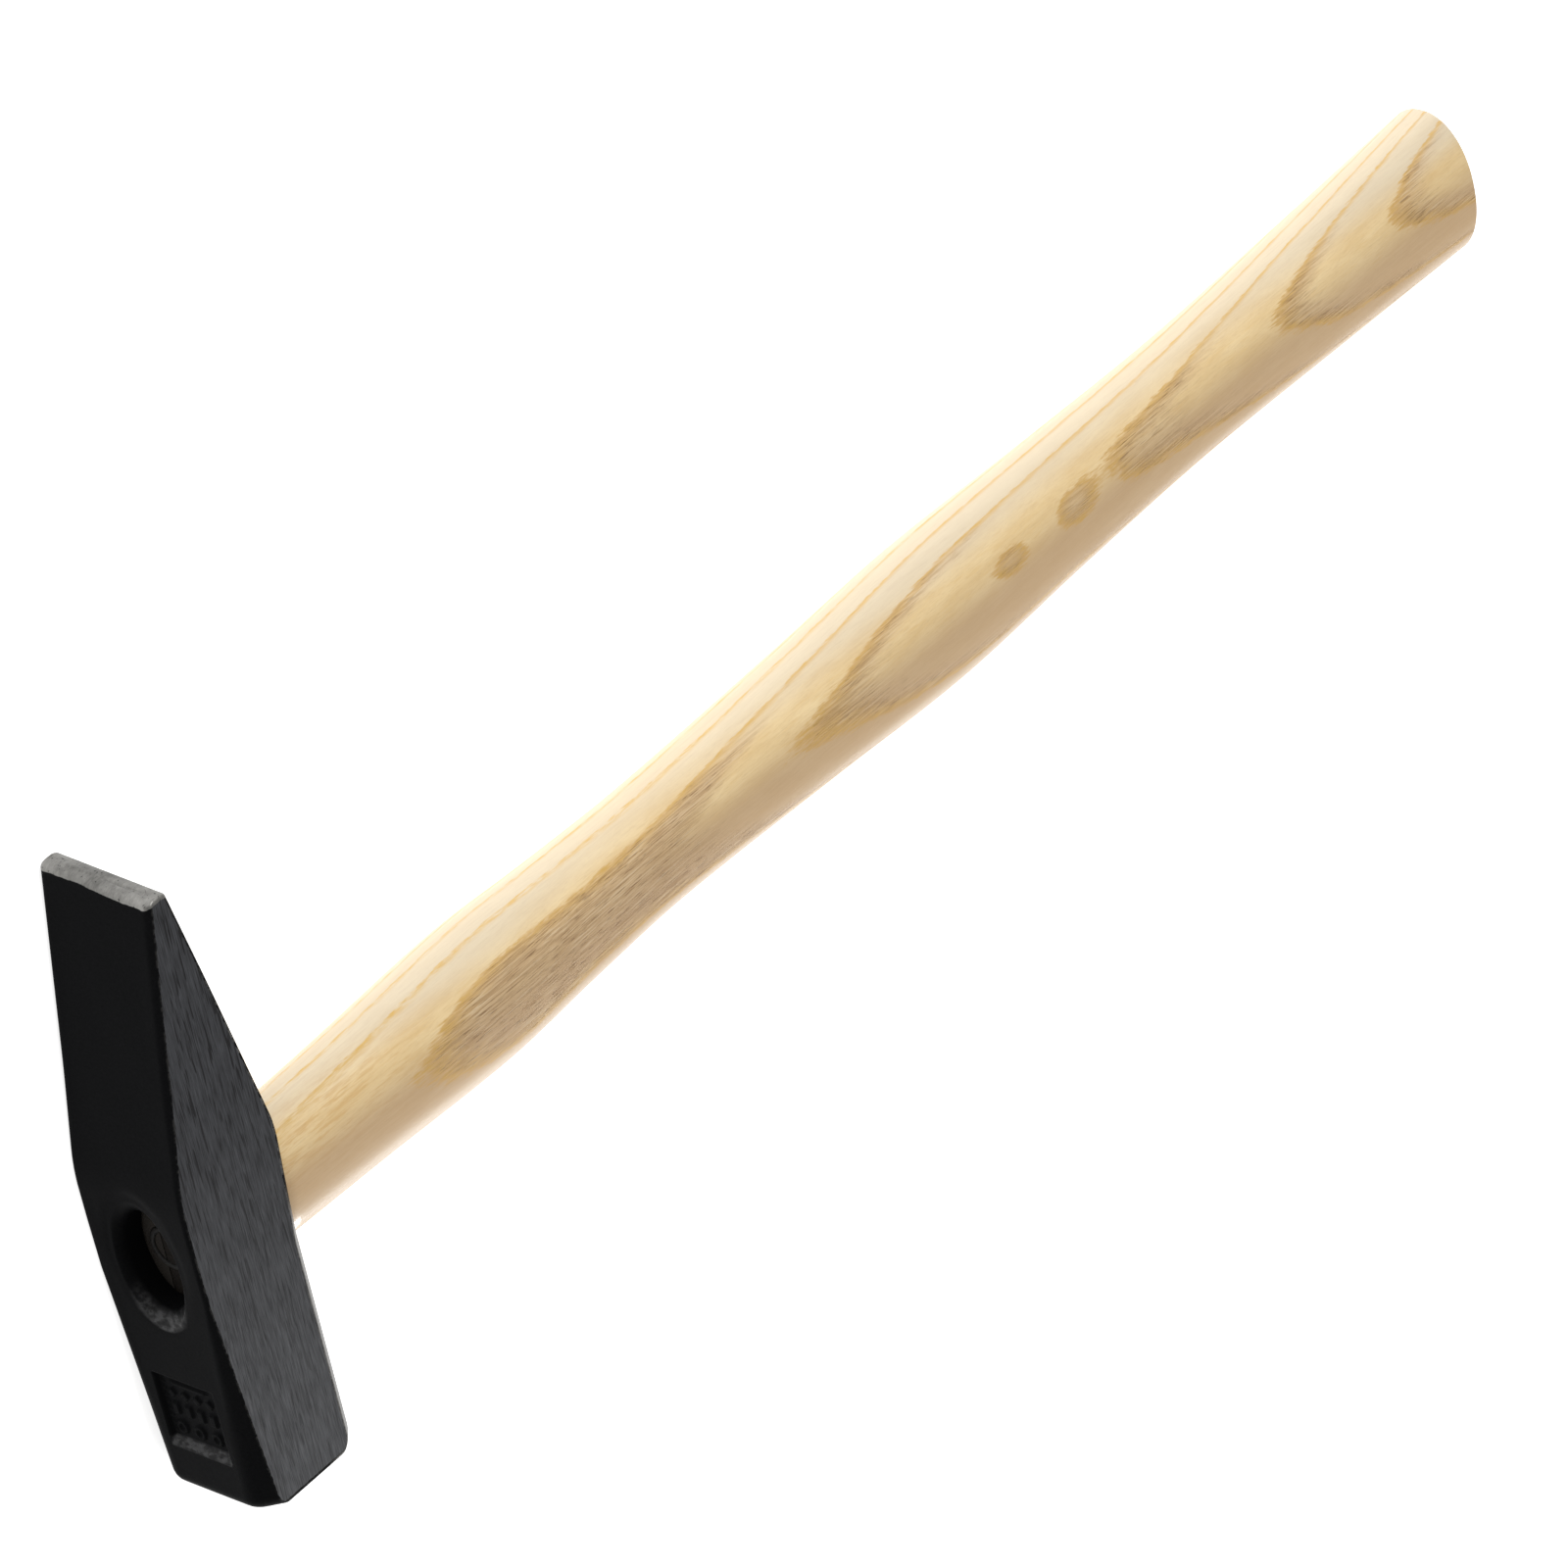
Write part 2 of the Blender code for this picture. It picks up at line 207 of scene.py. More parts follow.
# How far each corner's rounding reaches along its two sides. Corners 1, 2, 5
# and 6 border a ground cheek and stay crisp, the others are as forged.
SETBACKS = (1.2, 0.22, 0.22, 0.7, 0.7, 0.22, 0.22, 1.2)


def section_corners(y, inset_x, inset_z):
    """Eight corners (x, z) of the section at each y, as an array of rows."""
    outer, inner = outer_depth(y) - inset_x, inner_depth(y) - inset_x
    high = HALF_WIDTH - inset_z
    (outer_x, outer_z), (inner_x, inner_z) = chamfer_legs(y)
    most = 0.3 * (outer + inner)
    outer_x, inner_x = np.minimum(outer_x, most), np.minimum(inner_x, most)
    right = [
        (-outer, high - outer_z), (-outer + outer_x, high),
        (inner - inner_x, high), (inner, high - inner_z),
    ]
    left = [(x, -z) for x, z in right[::-1]]
    return np.array([[x, z] for x, z in right + left]).transpose(2, 0, 1)


print("chamfer legs at the face", np.round(chamfer_legs(FACE_Y), 2).tolist())

# %% Columns around the section
# The outer side has fine columns in the middle, where the sunk panel and the
# eye are, at the same distances from the middle line all along the head.
FINE_HALF = 5.85
FINE = spread(-FINE_HALF, FINE_HALF, 0.15)
BESIDE = np.array([0.12, 0.3, 0.5, 0.72, 0.9, 1.0])
WINDOW_MARGIN = 3
CORNER_STEPS = 3
CHEEK_SHARES = np.concatenate([[0, 0.004, 0.012], np.linspace(0.03, 0.97, 19), [0.988, 0.996, 1]])
CHAMFER_SHARES = np.array([0, 0.06, 0.3, 0.7, 0.94, 1.0])


def broad_side(start, end):
    """Points from start to end, across the middle, in columns of fixed distance."""
    reach = np.abs(end[:, 1])
    fine_reach = np.minimum(FINE_HALF, 0.93 * reach)
    middle = FINE[None] * (fine_reach / FINE_HALF)[:, None]
    side = fine_reach[:, None] + (reach - fine_reach)[:, None] * BESIDE[None]
    z = np.concatenate([-side[:, ::-1], middle, side], axis=1)
    z *= np.sign(end[:, 1])[:, None]
    x = np.broadcast_to(end[:, :1], z.shape)
    return np.stack([x, z], axis=-1)


def straight_side(start, end, shares):
    """Points from start to end at the given shares of the way."""
    return start[:, None] + (end - start)[:, None] * shares[None, :, None]


def round_corner(start, corner, end):
    """A quadratic curve from start to end that aims at the corner, without its ends."""
    t = (np.arange(1, CORNER_STEPS + 1) / (CORNER_STEPS + 1))[None, :, None]
    one, two, three = start[:, None], corner[:, None], end[:, None]
    return (1 - t) ** 2 * one + 2 * t * (1 - t) * two + t ** 2 * three


print(len(FINE), "fine columns,", len(CHEEK_SHARES), "on each cheek")

# %% The whole section
def around(y, inset_x, inset_z):
    """The whole section as columns: arrays of (x, z), and where each side starts."""
    corners = section_corners(y, inset_x, inset_z)
    sides = np.roll(corners, -1, axis=1) - corners
    lengths = np.linalg.norm(sides, axis=-1)
    directions = sides / lengths[..., None]
    ways, starts, count = [], [], 0
    back = np.minimum(lengths, np.roll(lengths, 1, axis=1)) * 0.45
    back = np.minimum(back, np.array(SETBACKS)[None])
    for k in (7, 0, 1, 2, 3, 4, 5, 6):
        following = (k + 1) % 8
        start = corners[:, k] + directions[:, k] * back[:, k, None]
        end = corners[:, following] - directions[:, k] * back[:, following, None]
        if k in (7, 3):
            side = broad_side(start, end)
        else:
            side = straight_side(start, end, CHEEK_SHARES if k in (1, 5) else CHAMFER_SHARES)
        out = corners[:, following] + directions[:, following] * back[:, following, None]
        turn = round_corner(end, corners[:, following], out)
        starts.append(count)
        count += side.shape[1] + turn.shape[1]
        ways += [side, turn]
    return np.concatenate(ways, axis=1), starts


# %% [markdown]
# ## Rows along the head
#
# Rows lie close together where the surface turns: at the rounded rim of the
# striking face, over the sunk panel, round the eye and on the peen's blunt
# nose. The rim is an ellipse's quarter. The nose is a crown: the two flanks
# roll over a flattened arch that was ground bare.

# %% Rows from the striking face to the nose
FACE_CROWN = 0.22
RIM_X, RIM_Z = 2.6, 0.7
PANEL_TOP, PANEL_BOTTOM = -19.0, -31.2
EYE_ROWS = 12.4
NOSE_RISE = 0.95
NOSE_FLATNESS = 2.5
NOSE_LEFT = 0.12
NOSE_SLANT = 0.9


def rim_inset(distance, radius):
    """A rounded rim draws in by radius minus the circle's chord at this distance."""
    left = np.clip(radius - distance, 0, radius)
    return radius - np.sqrt(radius ** 2 - left ** 2)


rim = RIM_X * (1 - np.cos(np.linspace(0.10, 0.5, 11) * math.pi))
rim = rim - rim[0]
body_rows = np.concatenate([
    spread(FACE_Y + RIM_X + 0.7, PANEL_BOTTOM - 0.6, 0.7),
    spread(PANEL_BOTTOM - 0.3, PANEL_TOP + 0.3, 0.15),
    spread(PANEL_TOP + 0.8, -EYE_ROWS - 0.5, 0.6),
    spread(-EYE_ROWS, EYE_ROWS, 0.4),
    spread(EYE_ROWS + 0.6, 22, 0.6),
    spread(23.2, NOSE_Y - 4.5, 1.4),
    spread(NOSE_Y - 4.0, NOSE_Y - NOSE_RISE - 0.4, 0.4),
])
turn = np.linspace(0, 0.5, 12) * math.pi
arch_in = 1 - np.cos(turn) ** (2 / NOSE_FLATNESS)
arch_up = np.sin(turn) ** (2 / NOSE_FLATNESS)

rows = np.concatenate([
    FACE_Y + FACE_CROWN + rim, body_rows, NOSE_Y - NOSE_RISE + NOSE_RISE * arch_up,
])
inset_x = np.concatenate([
    rim_inset(rim, RIM_X), np.zeros(len(body_rows)), arch_in * (PEEN_HALF - NOSE_LEFT),
])
inset_z = np.concatenate([rim_inset(rim, RIM_Z), np.zeros(len(body_rows)), arch_in * 0.5])
flat_rows = np.concatenate([rows[:-len(turn)], np.full(len(turn), NOSE_Y - NOSE_RISE)])
section, side_starts = around(flat_rows, inset_x, inset_z)
ROWS, COLUMNS = section.shape[:2]
BROAD = len(FINE) + 2 * len(BESIDE)
print("head grid", ROWS, "rows of", COLUMNS)

# %% [markdown]
# ## The sunk panel
#
# The maker's die leaves a shallow pocket between the eye and the face, with a
# sloping wall at the face's end. Such a pocket usually holds stamped marks.
# Here it holds a plain raised pattern that says nothing: three dimpled discs,
# a row of short ribs, a row of lozenges, one bar and two columns of pips. Each
# of them is a height above the pocket's floor, worked out from the distance to
# its middle, so no shape has to be cut or joined.

# %% Pocket and raised pattern
PANEL_HALF_WIDTH = 5.4
PANEL_DEPTH = 0.9
PANEL_WALL = 0.45
PANEL_RAMP = 1.2
PATTERN_HEIGHT = 0.38
DISC_Y, RIB_Y, LOZENGE_Y, BAR_Y = -28.1, -25.0, -22.4, -20.6
PIP_COLUMN = 4.55
WAVE_HEIGHT = 0.018
DISH_DEPTH = 0.28


def raised(distance, size, slope=0.25):
    """1 inside the size, 0 outside it, with a leaning edge."""
    return 1 - ease(distance, size - slope, size)


def pattern(y, z):
    """Height of the raised pattern, as a share of its full height."""
    ways = []
    for middle in (-3.1, 0.0, 3.1):
        away = np.hypot((y - DISC_Y) / 1.25, (z - middle) / 1.1)
        ways.append(raised(away, 1.0) * (1 - 0.75 * raised(away, 0.55)))
    for middle in (-3.3, -1.1, 1.1, 3.3):
        ways.append(raised(np.maximum(abs(y - RIB_Y) / 1.1, abs(z - middle) / 0.62), 1.0))
        ways.append(0.9 * raised(abs(y - LOZENGE_Y) / 0.9 + abs(z - middle) / 0.9, 1.0))
    for row in np.arange(-29.0, -20.0, 1.15):
        for middle in (-PIP_COLUMN, PIP_COLUMN):
            ways.append(0.7 * raised(np.hypot(y - row, z - middle), 0.42, 0.3))
    ways.append(0.8 * raised(np.maximum(abs(y - BAR_Y) / 0.3, abs(z) / 3.6), 1.0))
    return np.max(ways, axis=0)


def panel_depth(y, z):
    """How deep the outer side is pressed in at (y, z)."""
    side = (PANEL_HALF_WIDTH - abs(z)) / PANEL_WALL
    top = (PANEL_TOP - y) / PANEL_WALL
    bottom = (y - PANEL_BOTTOM) / PANEL_RAMP
    share = np.clip(np.minimum(np.minimum(side, top), bottom), 0, 1)
    share = 0.5 * share + 0.5 * share * share * (3 - 2 * share)
    return PANEL_DEPTH * share - PATTERN_HEIGHT * pattern(y, z) * (share > 0.98)


def forged_waves(y, z):
    """Slow shallow unevenness of a forged skin: three crossing waves, never outwards."""
    waves = np.sin(0.31 * y + 0.9) * np.cos(0.42 * z + 0.3)
    waves += 0.6 * np.sin(0.57 * y - 0.38 * z) + 0.4 * np.cos(0.23 * y + 0.71 * z + 2.0)
    return WAVE_HEIGHT * (2.0 - waves)


def eye_dish(y, z):
    """The skin dips a little round the eye's mouth, most at the peen's end."""
    away = np.hypot((y - 0.6) / 12.2, z / 7.4)
    return DISH_DEPTH * (1 - ease(away, 0.82, 1.0)) * (0.35 + 0.65 * ramp(y, -4, 9))


def outer_skin(y, z):
    """X of the outer side at (y, z), pocket, waves and dish included."""
    return -outer_depth(y) + panel_depth(y, z) + forged_waves(y, z) + eye_dish(y, z)


print("pocket", PANEL_TOP - PANEL_BOTTOM, "mm long,", PANEL_DEPTH, "deep")

# %% [markdown]
# ## The eye
#
# The eye is an oval hole that flares at its outer mouth, so that the wedged
# tenon can't pull out. A Boolean could cut it, but its rim would be a ragged
# line of slivers. So the grid leaves a rectangular window on both broad sides,
# and a tube of rings joins them: each ring turns the rectangle a bit more into
# the oval, rolls over the mouth's lip, follows the wall, and opens again at
# the handle's side.

# %% Head grid with its two windows
window = np.flatnonzero(np.abs(rows) <= EYE_ROWS + 0.01)
first_row, last_row = window[0], window[-1]
first_column = len(BESIDE) - WINDOW_MARGIN
last_column = BROAD - 1 - first_column

y_grid = np.repeat(rows[:, None], COLUMNS, axis=1)
x_grid, z_grid = section[..., 0].copy(), section[..., 1]
broad_outer = slice(side_starts[0], side_starts[0] + BROAD)
broad_inner = slice(side_starts[4], side_starts[4] + BROAD)
fade_nose = 1 - ramp(flat_rows, NOSE_Y - 6, NOSE_Y - NOSE_RISE)[:, None]
fade_rim = ramp(flat_rows, FACE_Y + FACE_CROWN, FACE_Y + 3.5)[:, None]
pressed_y, pressed_z = y_grid[:, broad_outer], z_grid[:, broad_outer]
pressed = outer_skin(pressed_y, pressed_z) + outer_depth(pressed_y)
edge_fade = ramp(HALF_WIDTH - np.abs(pressed_z), 1.0, 2.6)
plain = panel_depth(pressed_y, pressed_z)
pressed = plain + (pressed - plain) * fade_nose * fade_rim * edge_fade
x_grid[:, broad_outer] += pressed
inner_y, inner_z = y_grid[:, broad_inner], z_grid[:, broad_inner]
edge_fade = ramp(HALF_WIDTH - np.abs(inner_z), 1.8, 3.4)
x_grid[:, broad_inner] -= forged_waves(inner_y + 40, inner_z) * fade_nose * fade_rim * edge_fade
slant = NOSE_SLANT * (z_grid + HALF_WIDTH) / (2 * HALF_WIDTH)
y_grid = y_grid - slant * ramp(y_grid, NOSE_Y - 16, NOSE_Y)

index = np.arange(ROWS * COLUMNS).reshape(ROWS, COLUMNS)
grid_faces = np.stack([
    index[:-1], np.roll(index[:-1], -1, axis=1), np.roll(index[1:], -1, axis=1), index[1:],
], axis=-1)
keep = np.ones(grid_faces.shape[:2], bool)
for start in (side_starts[0], side_starts[4]):
    keep[first_row:last_row, start + first_column:start + last_column] = False
head_points = np.stack([x_grid, y_grid, z_grid + AXIS_Z], axis=-1).reshape(-1, 3)
head_quads = [grid_faces[keep]]
print("windows leave out", int((~keep).sum()), "faces")


# %% Rings through the eye
def window_edge(start, mirrored):
    """Point indices once round a window; a mirrored side counts its columns backwards."""
    columns = np.arange(first_column, last_column + 1)
    columns = start + (BROAD - 1 - columns if mirrored else columns)
    lines = np.arange(first_row, last_row + 1)
    return np.concatenate([
        index[first_row, columns[:-1]], index[lines[:-1], columns[-1]],
        index[last_row, columns[:0:-1]], index[lines[:0:-1], columns[0]],
    ])


EYE_Y, EYE_Z = 7.9, 4.9
LIP_Y, LIP_Z = 2.45, 0.95
LIP_DEPTH = 1.9
LIP_ROUNDNESS = 1.45
MOUTH_RINGS, LIP_RINGS = 6, 12
NECK_LIP, NECK_DEPTH, NECK_ROUNDNESS = 1.0, 1.2, 1.6

outer_edge = window_edge(side_starts[0], False)
inner_edge = window_edge(side_starts[4], True)
edge_y, edge_z = head_points[outer_edge, 1], head_points[outer_edge, 2] - AXIS_Z
angle = np.arctan2(edge_z / np.abs(edge_z).max(), edge_y / np.abs(edge_y).max())
cosine, sine = np.cos(angle), np.sin(angle)


def mouth_rings(edge, oval_y, oval_z, skin, steps):
    """Rings that turn the window's rectangle into an oval while they stay on the skin."""
    flat = head_points[edge]
    share = (np.arange(1, steps + 1) / steps)[:, None]
    y = flat[:, 1] * (1 - share) + oval_y * cosine * share
    z = (flat[:, 2] - AXIS_Z) * (1 - share) + oval_z * sine * share
    return np.stack([skin(y, z), y, z + AXIS_Z], axis=-1)


def lip_rings(oval_y, oval_z, lip_y, lip_z, depth, start_x, outer, roundness):
    """Rings that roll over a lip: a flattened quarter arch from the skin to the wall."""
    turn = (np.arange(1, LIP_RINGS + 1) / LIP_RINGS * math.pi / 2)[:, None]
    left = 1 - np.sin(turn) ** (2 / roundness)
    down = 1 - np.cos(turn) ** (2 / roundness)
    y = (oval_y + lip_y * left) * cosine
    z = (oval_z + lip_z * left) * sine
    wall_x = depth - INNER_X if outer else INNER_X - depth
    x = start_x[None] + (wall_x - start_x[None]) * down
    return np.stack([x + 0 * y, y, z + AXIS_Z], axis=-1)


outer_mouth = mouth_rings(outer_edge, EYE_Y + LIP_Y, EYE_Z + LIP_Z, outer_skin, MOUTH_RINGS)
outer_lip = lip_rings(
    EYE_Y, EYE_Z, LIP_Y, LIP_Z, LIP_DEPTH, outer_mouth[-1, :, 0], True, LIP_ROUNDNESS,
)
inner_mouth = mouth_rings(
    inner_edge, EYE_Y + NECK_LIP, EYE_Z + NECK_LIP, lambda y, z: INNER_X + 0 * y, 4,
)
inner_lip = lip_rings(
    EYE_Y, EYE_Z, NECK_LIP, NECK_LIP, NECK_DEPTH, inner_mouth[-1, :, 0], False, NECK_ROUNDNESS,
)
wall_share = np.linspace(0, 1, 10)[1:-1, None, None]
wall = outer_lip[-1] + (inner_lip[-1] - outer_lip[-1]) * wall_share
tube = np.concatenate([outer_mouth, outer_lip, wall, inner_lip[::-1], inner_mouth[::-1]])
tube_index = len(head_points) + np.arange(tube.shape[0] * tube.shape[1])
tube_index = np.vstack([outer_edge, tube_index.reshape(tube.shape[:2]), inner_edge])
head_points = np.concatenate([head_points, tube.reshape(-1, 3)])
head_quads.append(tube_quads(tube_index))
print("eye tube", tube.shape[0], "rings of", tube.shape[1])


# %% Close the striking face and the nose
def close_end(points, ring, shares, bulge, axis=1):
    """Rings shrunk towards the ring's middle, then a fan; bulge gives their place on the axis."""
    base = points[ring]
    middle = (base.min(axis=0) + base.max(axis=0)) / 2
    shares = np.array(shares)[:, None]
    rings = middle + (base - middle) * shares[..., None]
    rings[..., axis] = bulge(shares, base[:, axis])
    numbers = len(points) + np.arange(rings.shape[0] * rings.shape[1])
    numbers = numbers.reshape(rings.shape[:2])
    tip = middle.copy()
    tip[axis] = bulge(0.0, base[:, axis]).mean()
    points = np.concatenate([points, rings.reshape(-1, 3), [tip]])
    last = numbers[-1]
    fan = np.stack([last, np.roll(last, -1), np.full(len(last), len(points) - 1)], axis=-1)
    return points, tube_quads(np.vstack([ring, numbers])), fan


face_shares = (0.99, 0.96, 0.9, 0.8, 0.66, 0.5, 0.33, 0.16)
head_points, quads, face_fan = close_end(
    head_points, index[0], face_shares, lambda share, y: FACE_Y + FACE_CROWN * share ** 2 + 0 * y,
)
head_quads.append(quads[:, ::-1])
head_points, quads, nose_fan = close_end(
    head_points, index[-1], (0.7, 0.35), lambda share, y: y + 0 * share,
)
head_quads.append(quads)
head_quads = np.concatenate(head_quads)
head_fans = np.concatenate([face_fan[:, ::-1], nose_fan])
head = mesh_piece("forged_head", head_points, head_quads, head_fans)

# %% [markdown]
# ## Marking out the ground cheeks
#
# The two cheeks were ground after forging, the rest kept its smooth skin. The
# finish has to know how far a point is inside a cheek, so each point stores
# its signed distance to the cheek's edge: positive on the cheek, negative off
# it. It is the path along the section to the nearer end of the cheek.

# %% Signed distance to the cheek's edge
steps = np.linalg.norm(np.diff(section, axis=1, append=section[:, :1]), axis=-1)
along = np.concatenate([np.zeros((ROWS, 1)), np.cumsum(steps, axis=1)[:, :-1]], axis=1)
# What points store that belong to no cheek at all.
FAR_OFF, IN_THE_EYE = -50.0, -20.0
RIM_UNGROUND = 1.1
inside = np.full((ROWS, COLUMNS), FAR_OFF)
for side in (2, 6):
    start = along[:, side_starts[side]][:, None]
    end = along[:, side_starts[side] + len(CHEEK_SHARES) - 1][:, None]
    inside = np.maximum(inside, np.minimum(along - start, end - along))
inside = np.minimum(inside, y_grid - (FACE_Y + RIM_UNGROUND))
cheek_values = np.full(len(head_points), IN_THE_EYE)
cheek_values[:ROWS * COLUMNS] = inside.ravel()
point_values(head, "cheek", cheek_values)
print("cheek points", int((cheek_values > 0).sum()))

# %% [markdown]
# ## Paint polished thin, with painted highlights
#
# The lip of the eye and the pocket's lower wall stand in the way of every rag
# and finger, so their paint is polished thin and glossier. On the faces that
# the key light catches (the lip's lower end, a thin line of the rim on one
# side, and the pocket's sloping wall) the paint is also painted lighter in
# small patches: a painted highlight. Where this happens follows from the
# shape, not from chance, so each point stores a second number: 0 for fresh
# paint, 1 for polished paint with a painted highlight. It is a product of
# smooth steps along and across the wall, and round the lip.

# %% How far each point's paint is polished thin, and where a highlight is painted
rubbed_and_highlight = np.zeros(len(head_points))
# The pocket's sloping wall faces the key light: its polished paint also carries a painted
# highlight.
on_wall = (pressed_y - PANEL_BOTTOM) / PANEL_RAMP
in_width = raised(np.abs(pressed_z), PANEL_HALF_WIDTH + 0.1, 0.3)
wall_share = ramp(on_wall, -0.25, 0.15) * (1 - ramp(on_wall, 0.75, 1.15)) * in_width
rubbed_and_highlight_grid = np.zeros((ROWS, COLUMNS))
rubbed_and_highlight_grid[:, broad_outer] = wall_share
rubbed_and_highlight[:ROWS * COLUMNS] = rubbed_and_highlight_grid.ravel()
lip_share = np.zeros(tube.shape[:2])
# The polished patches and their painted highlight lie on the lip's lower end, which faces the key
# light.
low_end = ease(-cosine, 0.45, 0.92)
lip_share[MOUTH_RINGS - 1] = 0.7 * low_end
down_the_lip = np.array([1, 1, 1, 1, 1, 1, 0.9, 0.6, 0.3, 0.1])[:, None]
lip_share[MOUTH_RINGS:MOUTH_RINGS + len(down_the_lip)] = down_the_lip * low_end
# A painted highlight: a thin light line round part of the eye's rim, on one side.
rim_highlight_share = 0.7 * ease(sine, 0.1, 0.7) * ease(cosine, 0.97, 0.6)
rim_shares = np.array([0.5, 1, 0.4])[:, None] * rim_highlight_share
rim_rings = slice(MOUTH_RINGS, MOUTH_RINGS + len(rim_shares))
lip_share[rim_rings] = np.maximum(lip_share[rim_rings], rim_shares)
rubbed_and_highlight[ROWS * COLUMNS:ROWS * COLUMNS + lip_share.size] = lip_share.ravel()
point_values(head, "rubbed_and_highlight", rubbed_and_highlight)
print("rubbed points", int((rubbed_and_highlight > 0.5).sum()))

# %% [markdown]
# ## The handle
#
# An ash handle is turned on a copying lathe, which follows a model: an oval
# with two swells for the hand and a flare at the butt. Its surface has two
# parameters, the distance along the handle and the angle round it. Radii run
# on smooth curves through a few measured stations. The front end is the tenon
# that fills the eye, sawn open for a wedge and grooved by a ring.

# %% Radii through the stations
# Each station: x, the middle's y, half height along y, half thickness along z.
STATIONS = np.array([
    (12.5, -0.40, 9.60, 6.40), (30.0, -0.35, 9.95, 7.00), (55.0, -0.25, 10.73, 7.83),
    (73.5, -0.20, 9.85, 7.26), (92.0, -0.12, 9.30, 6.90), (125.0, -0.35, 10.24, 7.48),
    (152.0, -0.50, 11.25, 8.05), (180.0, -0.35, 10.38, 7.41), (209.0, -0.30, 9.79, 6.99),
    (240.0, -0.20, 10.60, 7.42), (271.2, 0.0, 11.85, 7.65),
])
SQUARENESS = 2.15
BUTT_ROUND, BUTT_BULGE = 1.0, 0.12
TENON_PLAY, NECK_LENGTH = 0.06, 3.3


def through_stations(x, column):
    """A cubic curve through one column of the stations, with slopes from their neighbours."""
    at, values = STATIONS[:, 0], STATIONS[:, column]
    slopes = np.gradient(values, at)
    slopes[1:-1] = (values[2:] - values[:-2]) / (at[2:] - at[:-2])
    k = np.clip(np.searchsorted(at, x) - 1, 0, len(at) - 2)
    span = at[k + 1] - at[k]
    t = (x - at[k]) / span
    return (
        (2 * t ** 3 - 3 * t ** 2 + 1) * values[k] + (t ** 3 - 2 * t ** 2 + t) * span * slopes[k]
        + (3 * t ** 2 - 2 * t ** 3) * values[k + 1] + (t ** 3 - t ** 2) * span * slopes[k + 1]
    )


def handle_rings():
    """Rows of (x, middle, half height, half thickness, squareness) from tenon to butt."""
    start = HANDLE_LOW[0]
    tenon_y, tenon_z = EYE_Y - TENON_PLAY, EYE_Z - TENON_PLAY
    rows = []
    for inset in (0.5, 0.3, 0.14, 0.04, 0.0):
        rows.append((start + (0.5 - inset) * 0.6, 0.0, tenon_y - inset, tenon_z - inset, 2.0))
    for x in spread(start + 0.9, INNER_X - NECK_DEPTH, 1.2):
        rows.append((x, 0.0, tenon_y, tenon_z, 2.0))
    neck = INNER_X + NECK_LENGTH
    middle, full_y, full_z = (through_stations(neck, k) for k in (1, 2, 3))
    for share in np.linspace(0.04, 1, 14)[:-1]:
        x = INNER_X - NECK_DEPTH + (neck - INNER_X + NECK_DEPTH) * share
        bulge = math.sin(share * math.pi / 2) ** 1.15
        rows.append((
            x, middle * bulge, tenon_y + (full_y - tenon_y) * bulge,
            tenon_z + (full_z - tenon_z) * bulge, 2.0 + (SQUARENESS - 2) * share,
        ))
    end = HANDLE_HIGH[0]
    for x in spread(neck, end - BUTT_ROUND, 0.95):
        rows.append((x, *(through_stations(x, k) for k in (1, 2, 3)), SQUARENESS))
    for turn in np.linspace(0, math.pi / 2, 9)[1:]:
        x = end - BUTT_BULGE - (BUTT_ROUND - BUTT_BULGE) * (1 - math.sin(turn))
        inset = BUTT_ROUND * (1 - math.cos(turn))
        middle, half_y, half_z = (through_stations(x, k) for k in (1, 2, 3))
        rows.append((x, middle, half_y - inset, half_z - inset, SQUARENESS))
    return np.array(rows)


AROUND = 144
rings = handle_rings()
turn = np.arange(AROUND) / AROUND * 2 * math.pi
power = 2 / rings[:, 4:5]
ring_y = rings[:, 1:2] + rings[:, 2:3] * np.sign(np.cos(turn)) * np.abs(np.cos(turn)) ** power
ring_z = rings[:, 3:4] * np.sign(np.sin(turn)) * np.abs(np.sin(turn)) ** power
handle_points = np.stack([rings[:, :1] + 0 * ring_y, ring_y, ring_z + AXIS_Z], axis=-1)
print("handle rings", handle_points.shape)


# %% Close both ends
def close_x(points, ring, shares, depth):
    """As close_end, for an end that faces along X and bulges by depth."""
    return close_end(points, ring, shares, lambda share, x: x + depth * (1 - share ** 2), 0)


ring_index = np.arange(len(rings) * AROUND).reshape(-1, AROUND)
handle_points = handle_points.reshape(-1, 3)
handle_quads = [tube_quads(ring_index)]
handle_points, quads, tenon_fan = close_x(
    handle_points, ring_index[0], (0.97, 0.9, 0.78, 0.62, 0.45, 0.3, 0.15), 0.0,
)
handle_quads.append(quads[:, ::-1])
handle_points, quads, butt_fan = close_x(
    handle_points, ring_index[-1], (0.985, 0.95, 0.88, 0.75, 0.6, 0.45, 0.3, 0.15), BUTT_BULGE,
)
handle_quads.append(quads)
handle_quads = np.concatenate(handle_quads)
handle_fans = np.concatenate([tenon_fan[:, ::-1], butt_fan])
handle = mesh_piece("ash_handle", handle_points, handle_quads, handle_fans)

# %% [markdown]
# ## Wedges
#
# A hardwood wedge in a sawn kerf spreads the tenon along the eye's width, and
# a steel ring wedge driven across it holds both. Both end a few millimetres
# below the eye's mouth. The kerf and the ring's groove are cut from the tenon
# with two applied Booleans, as saw and hammer would, and the wedges fill them.

# %% Wooden wedge
TENON_X = HANDLE_LOW[0]
WEDGE_LENGTH, WEDGE_THICK, WEDGE_TIP = 13.0, 2.4, 0.8
CRUSH = 0.12
WEDGE_REACH, KERF_REACH = 7.55, 9.5
KERF_PLAY, GROOVE_PLAY = 0.05, 0.04


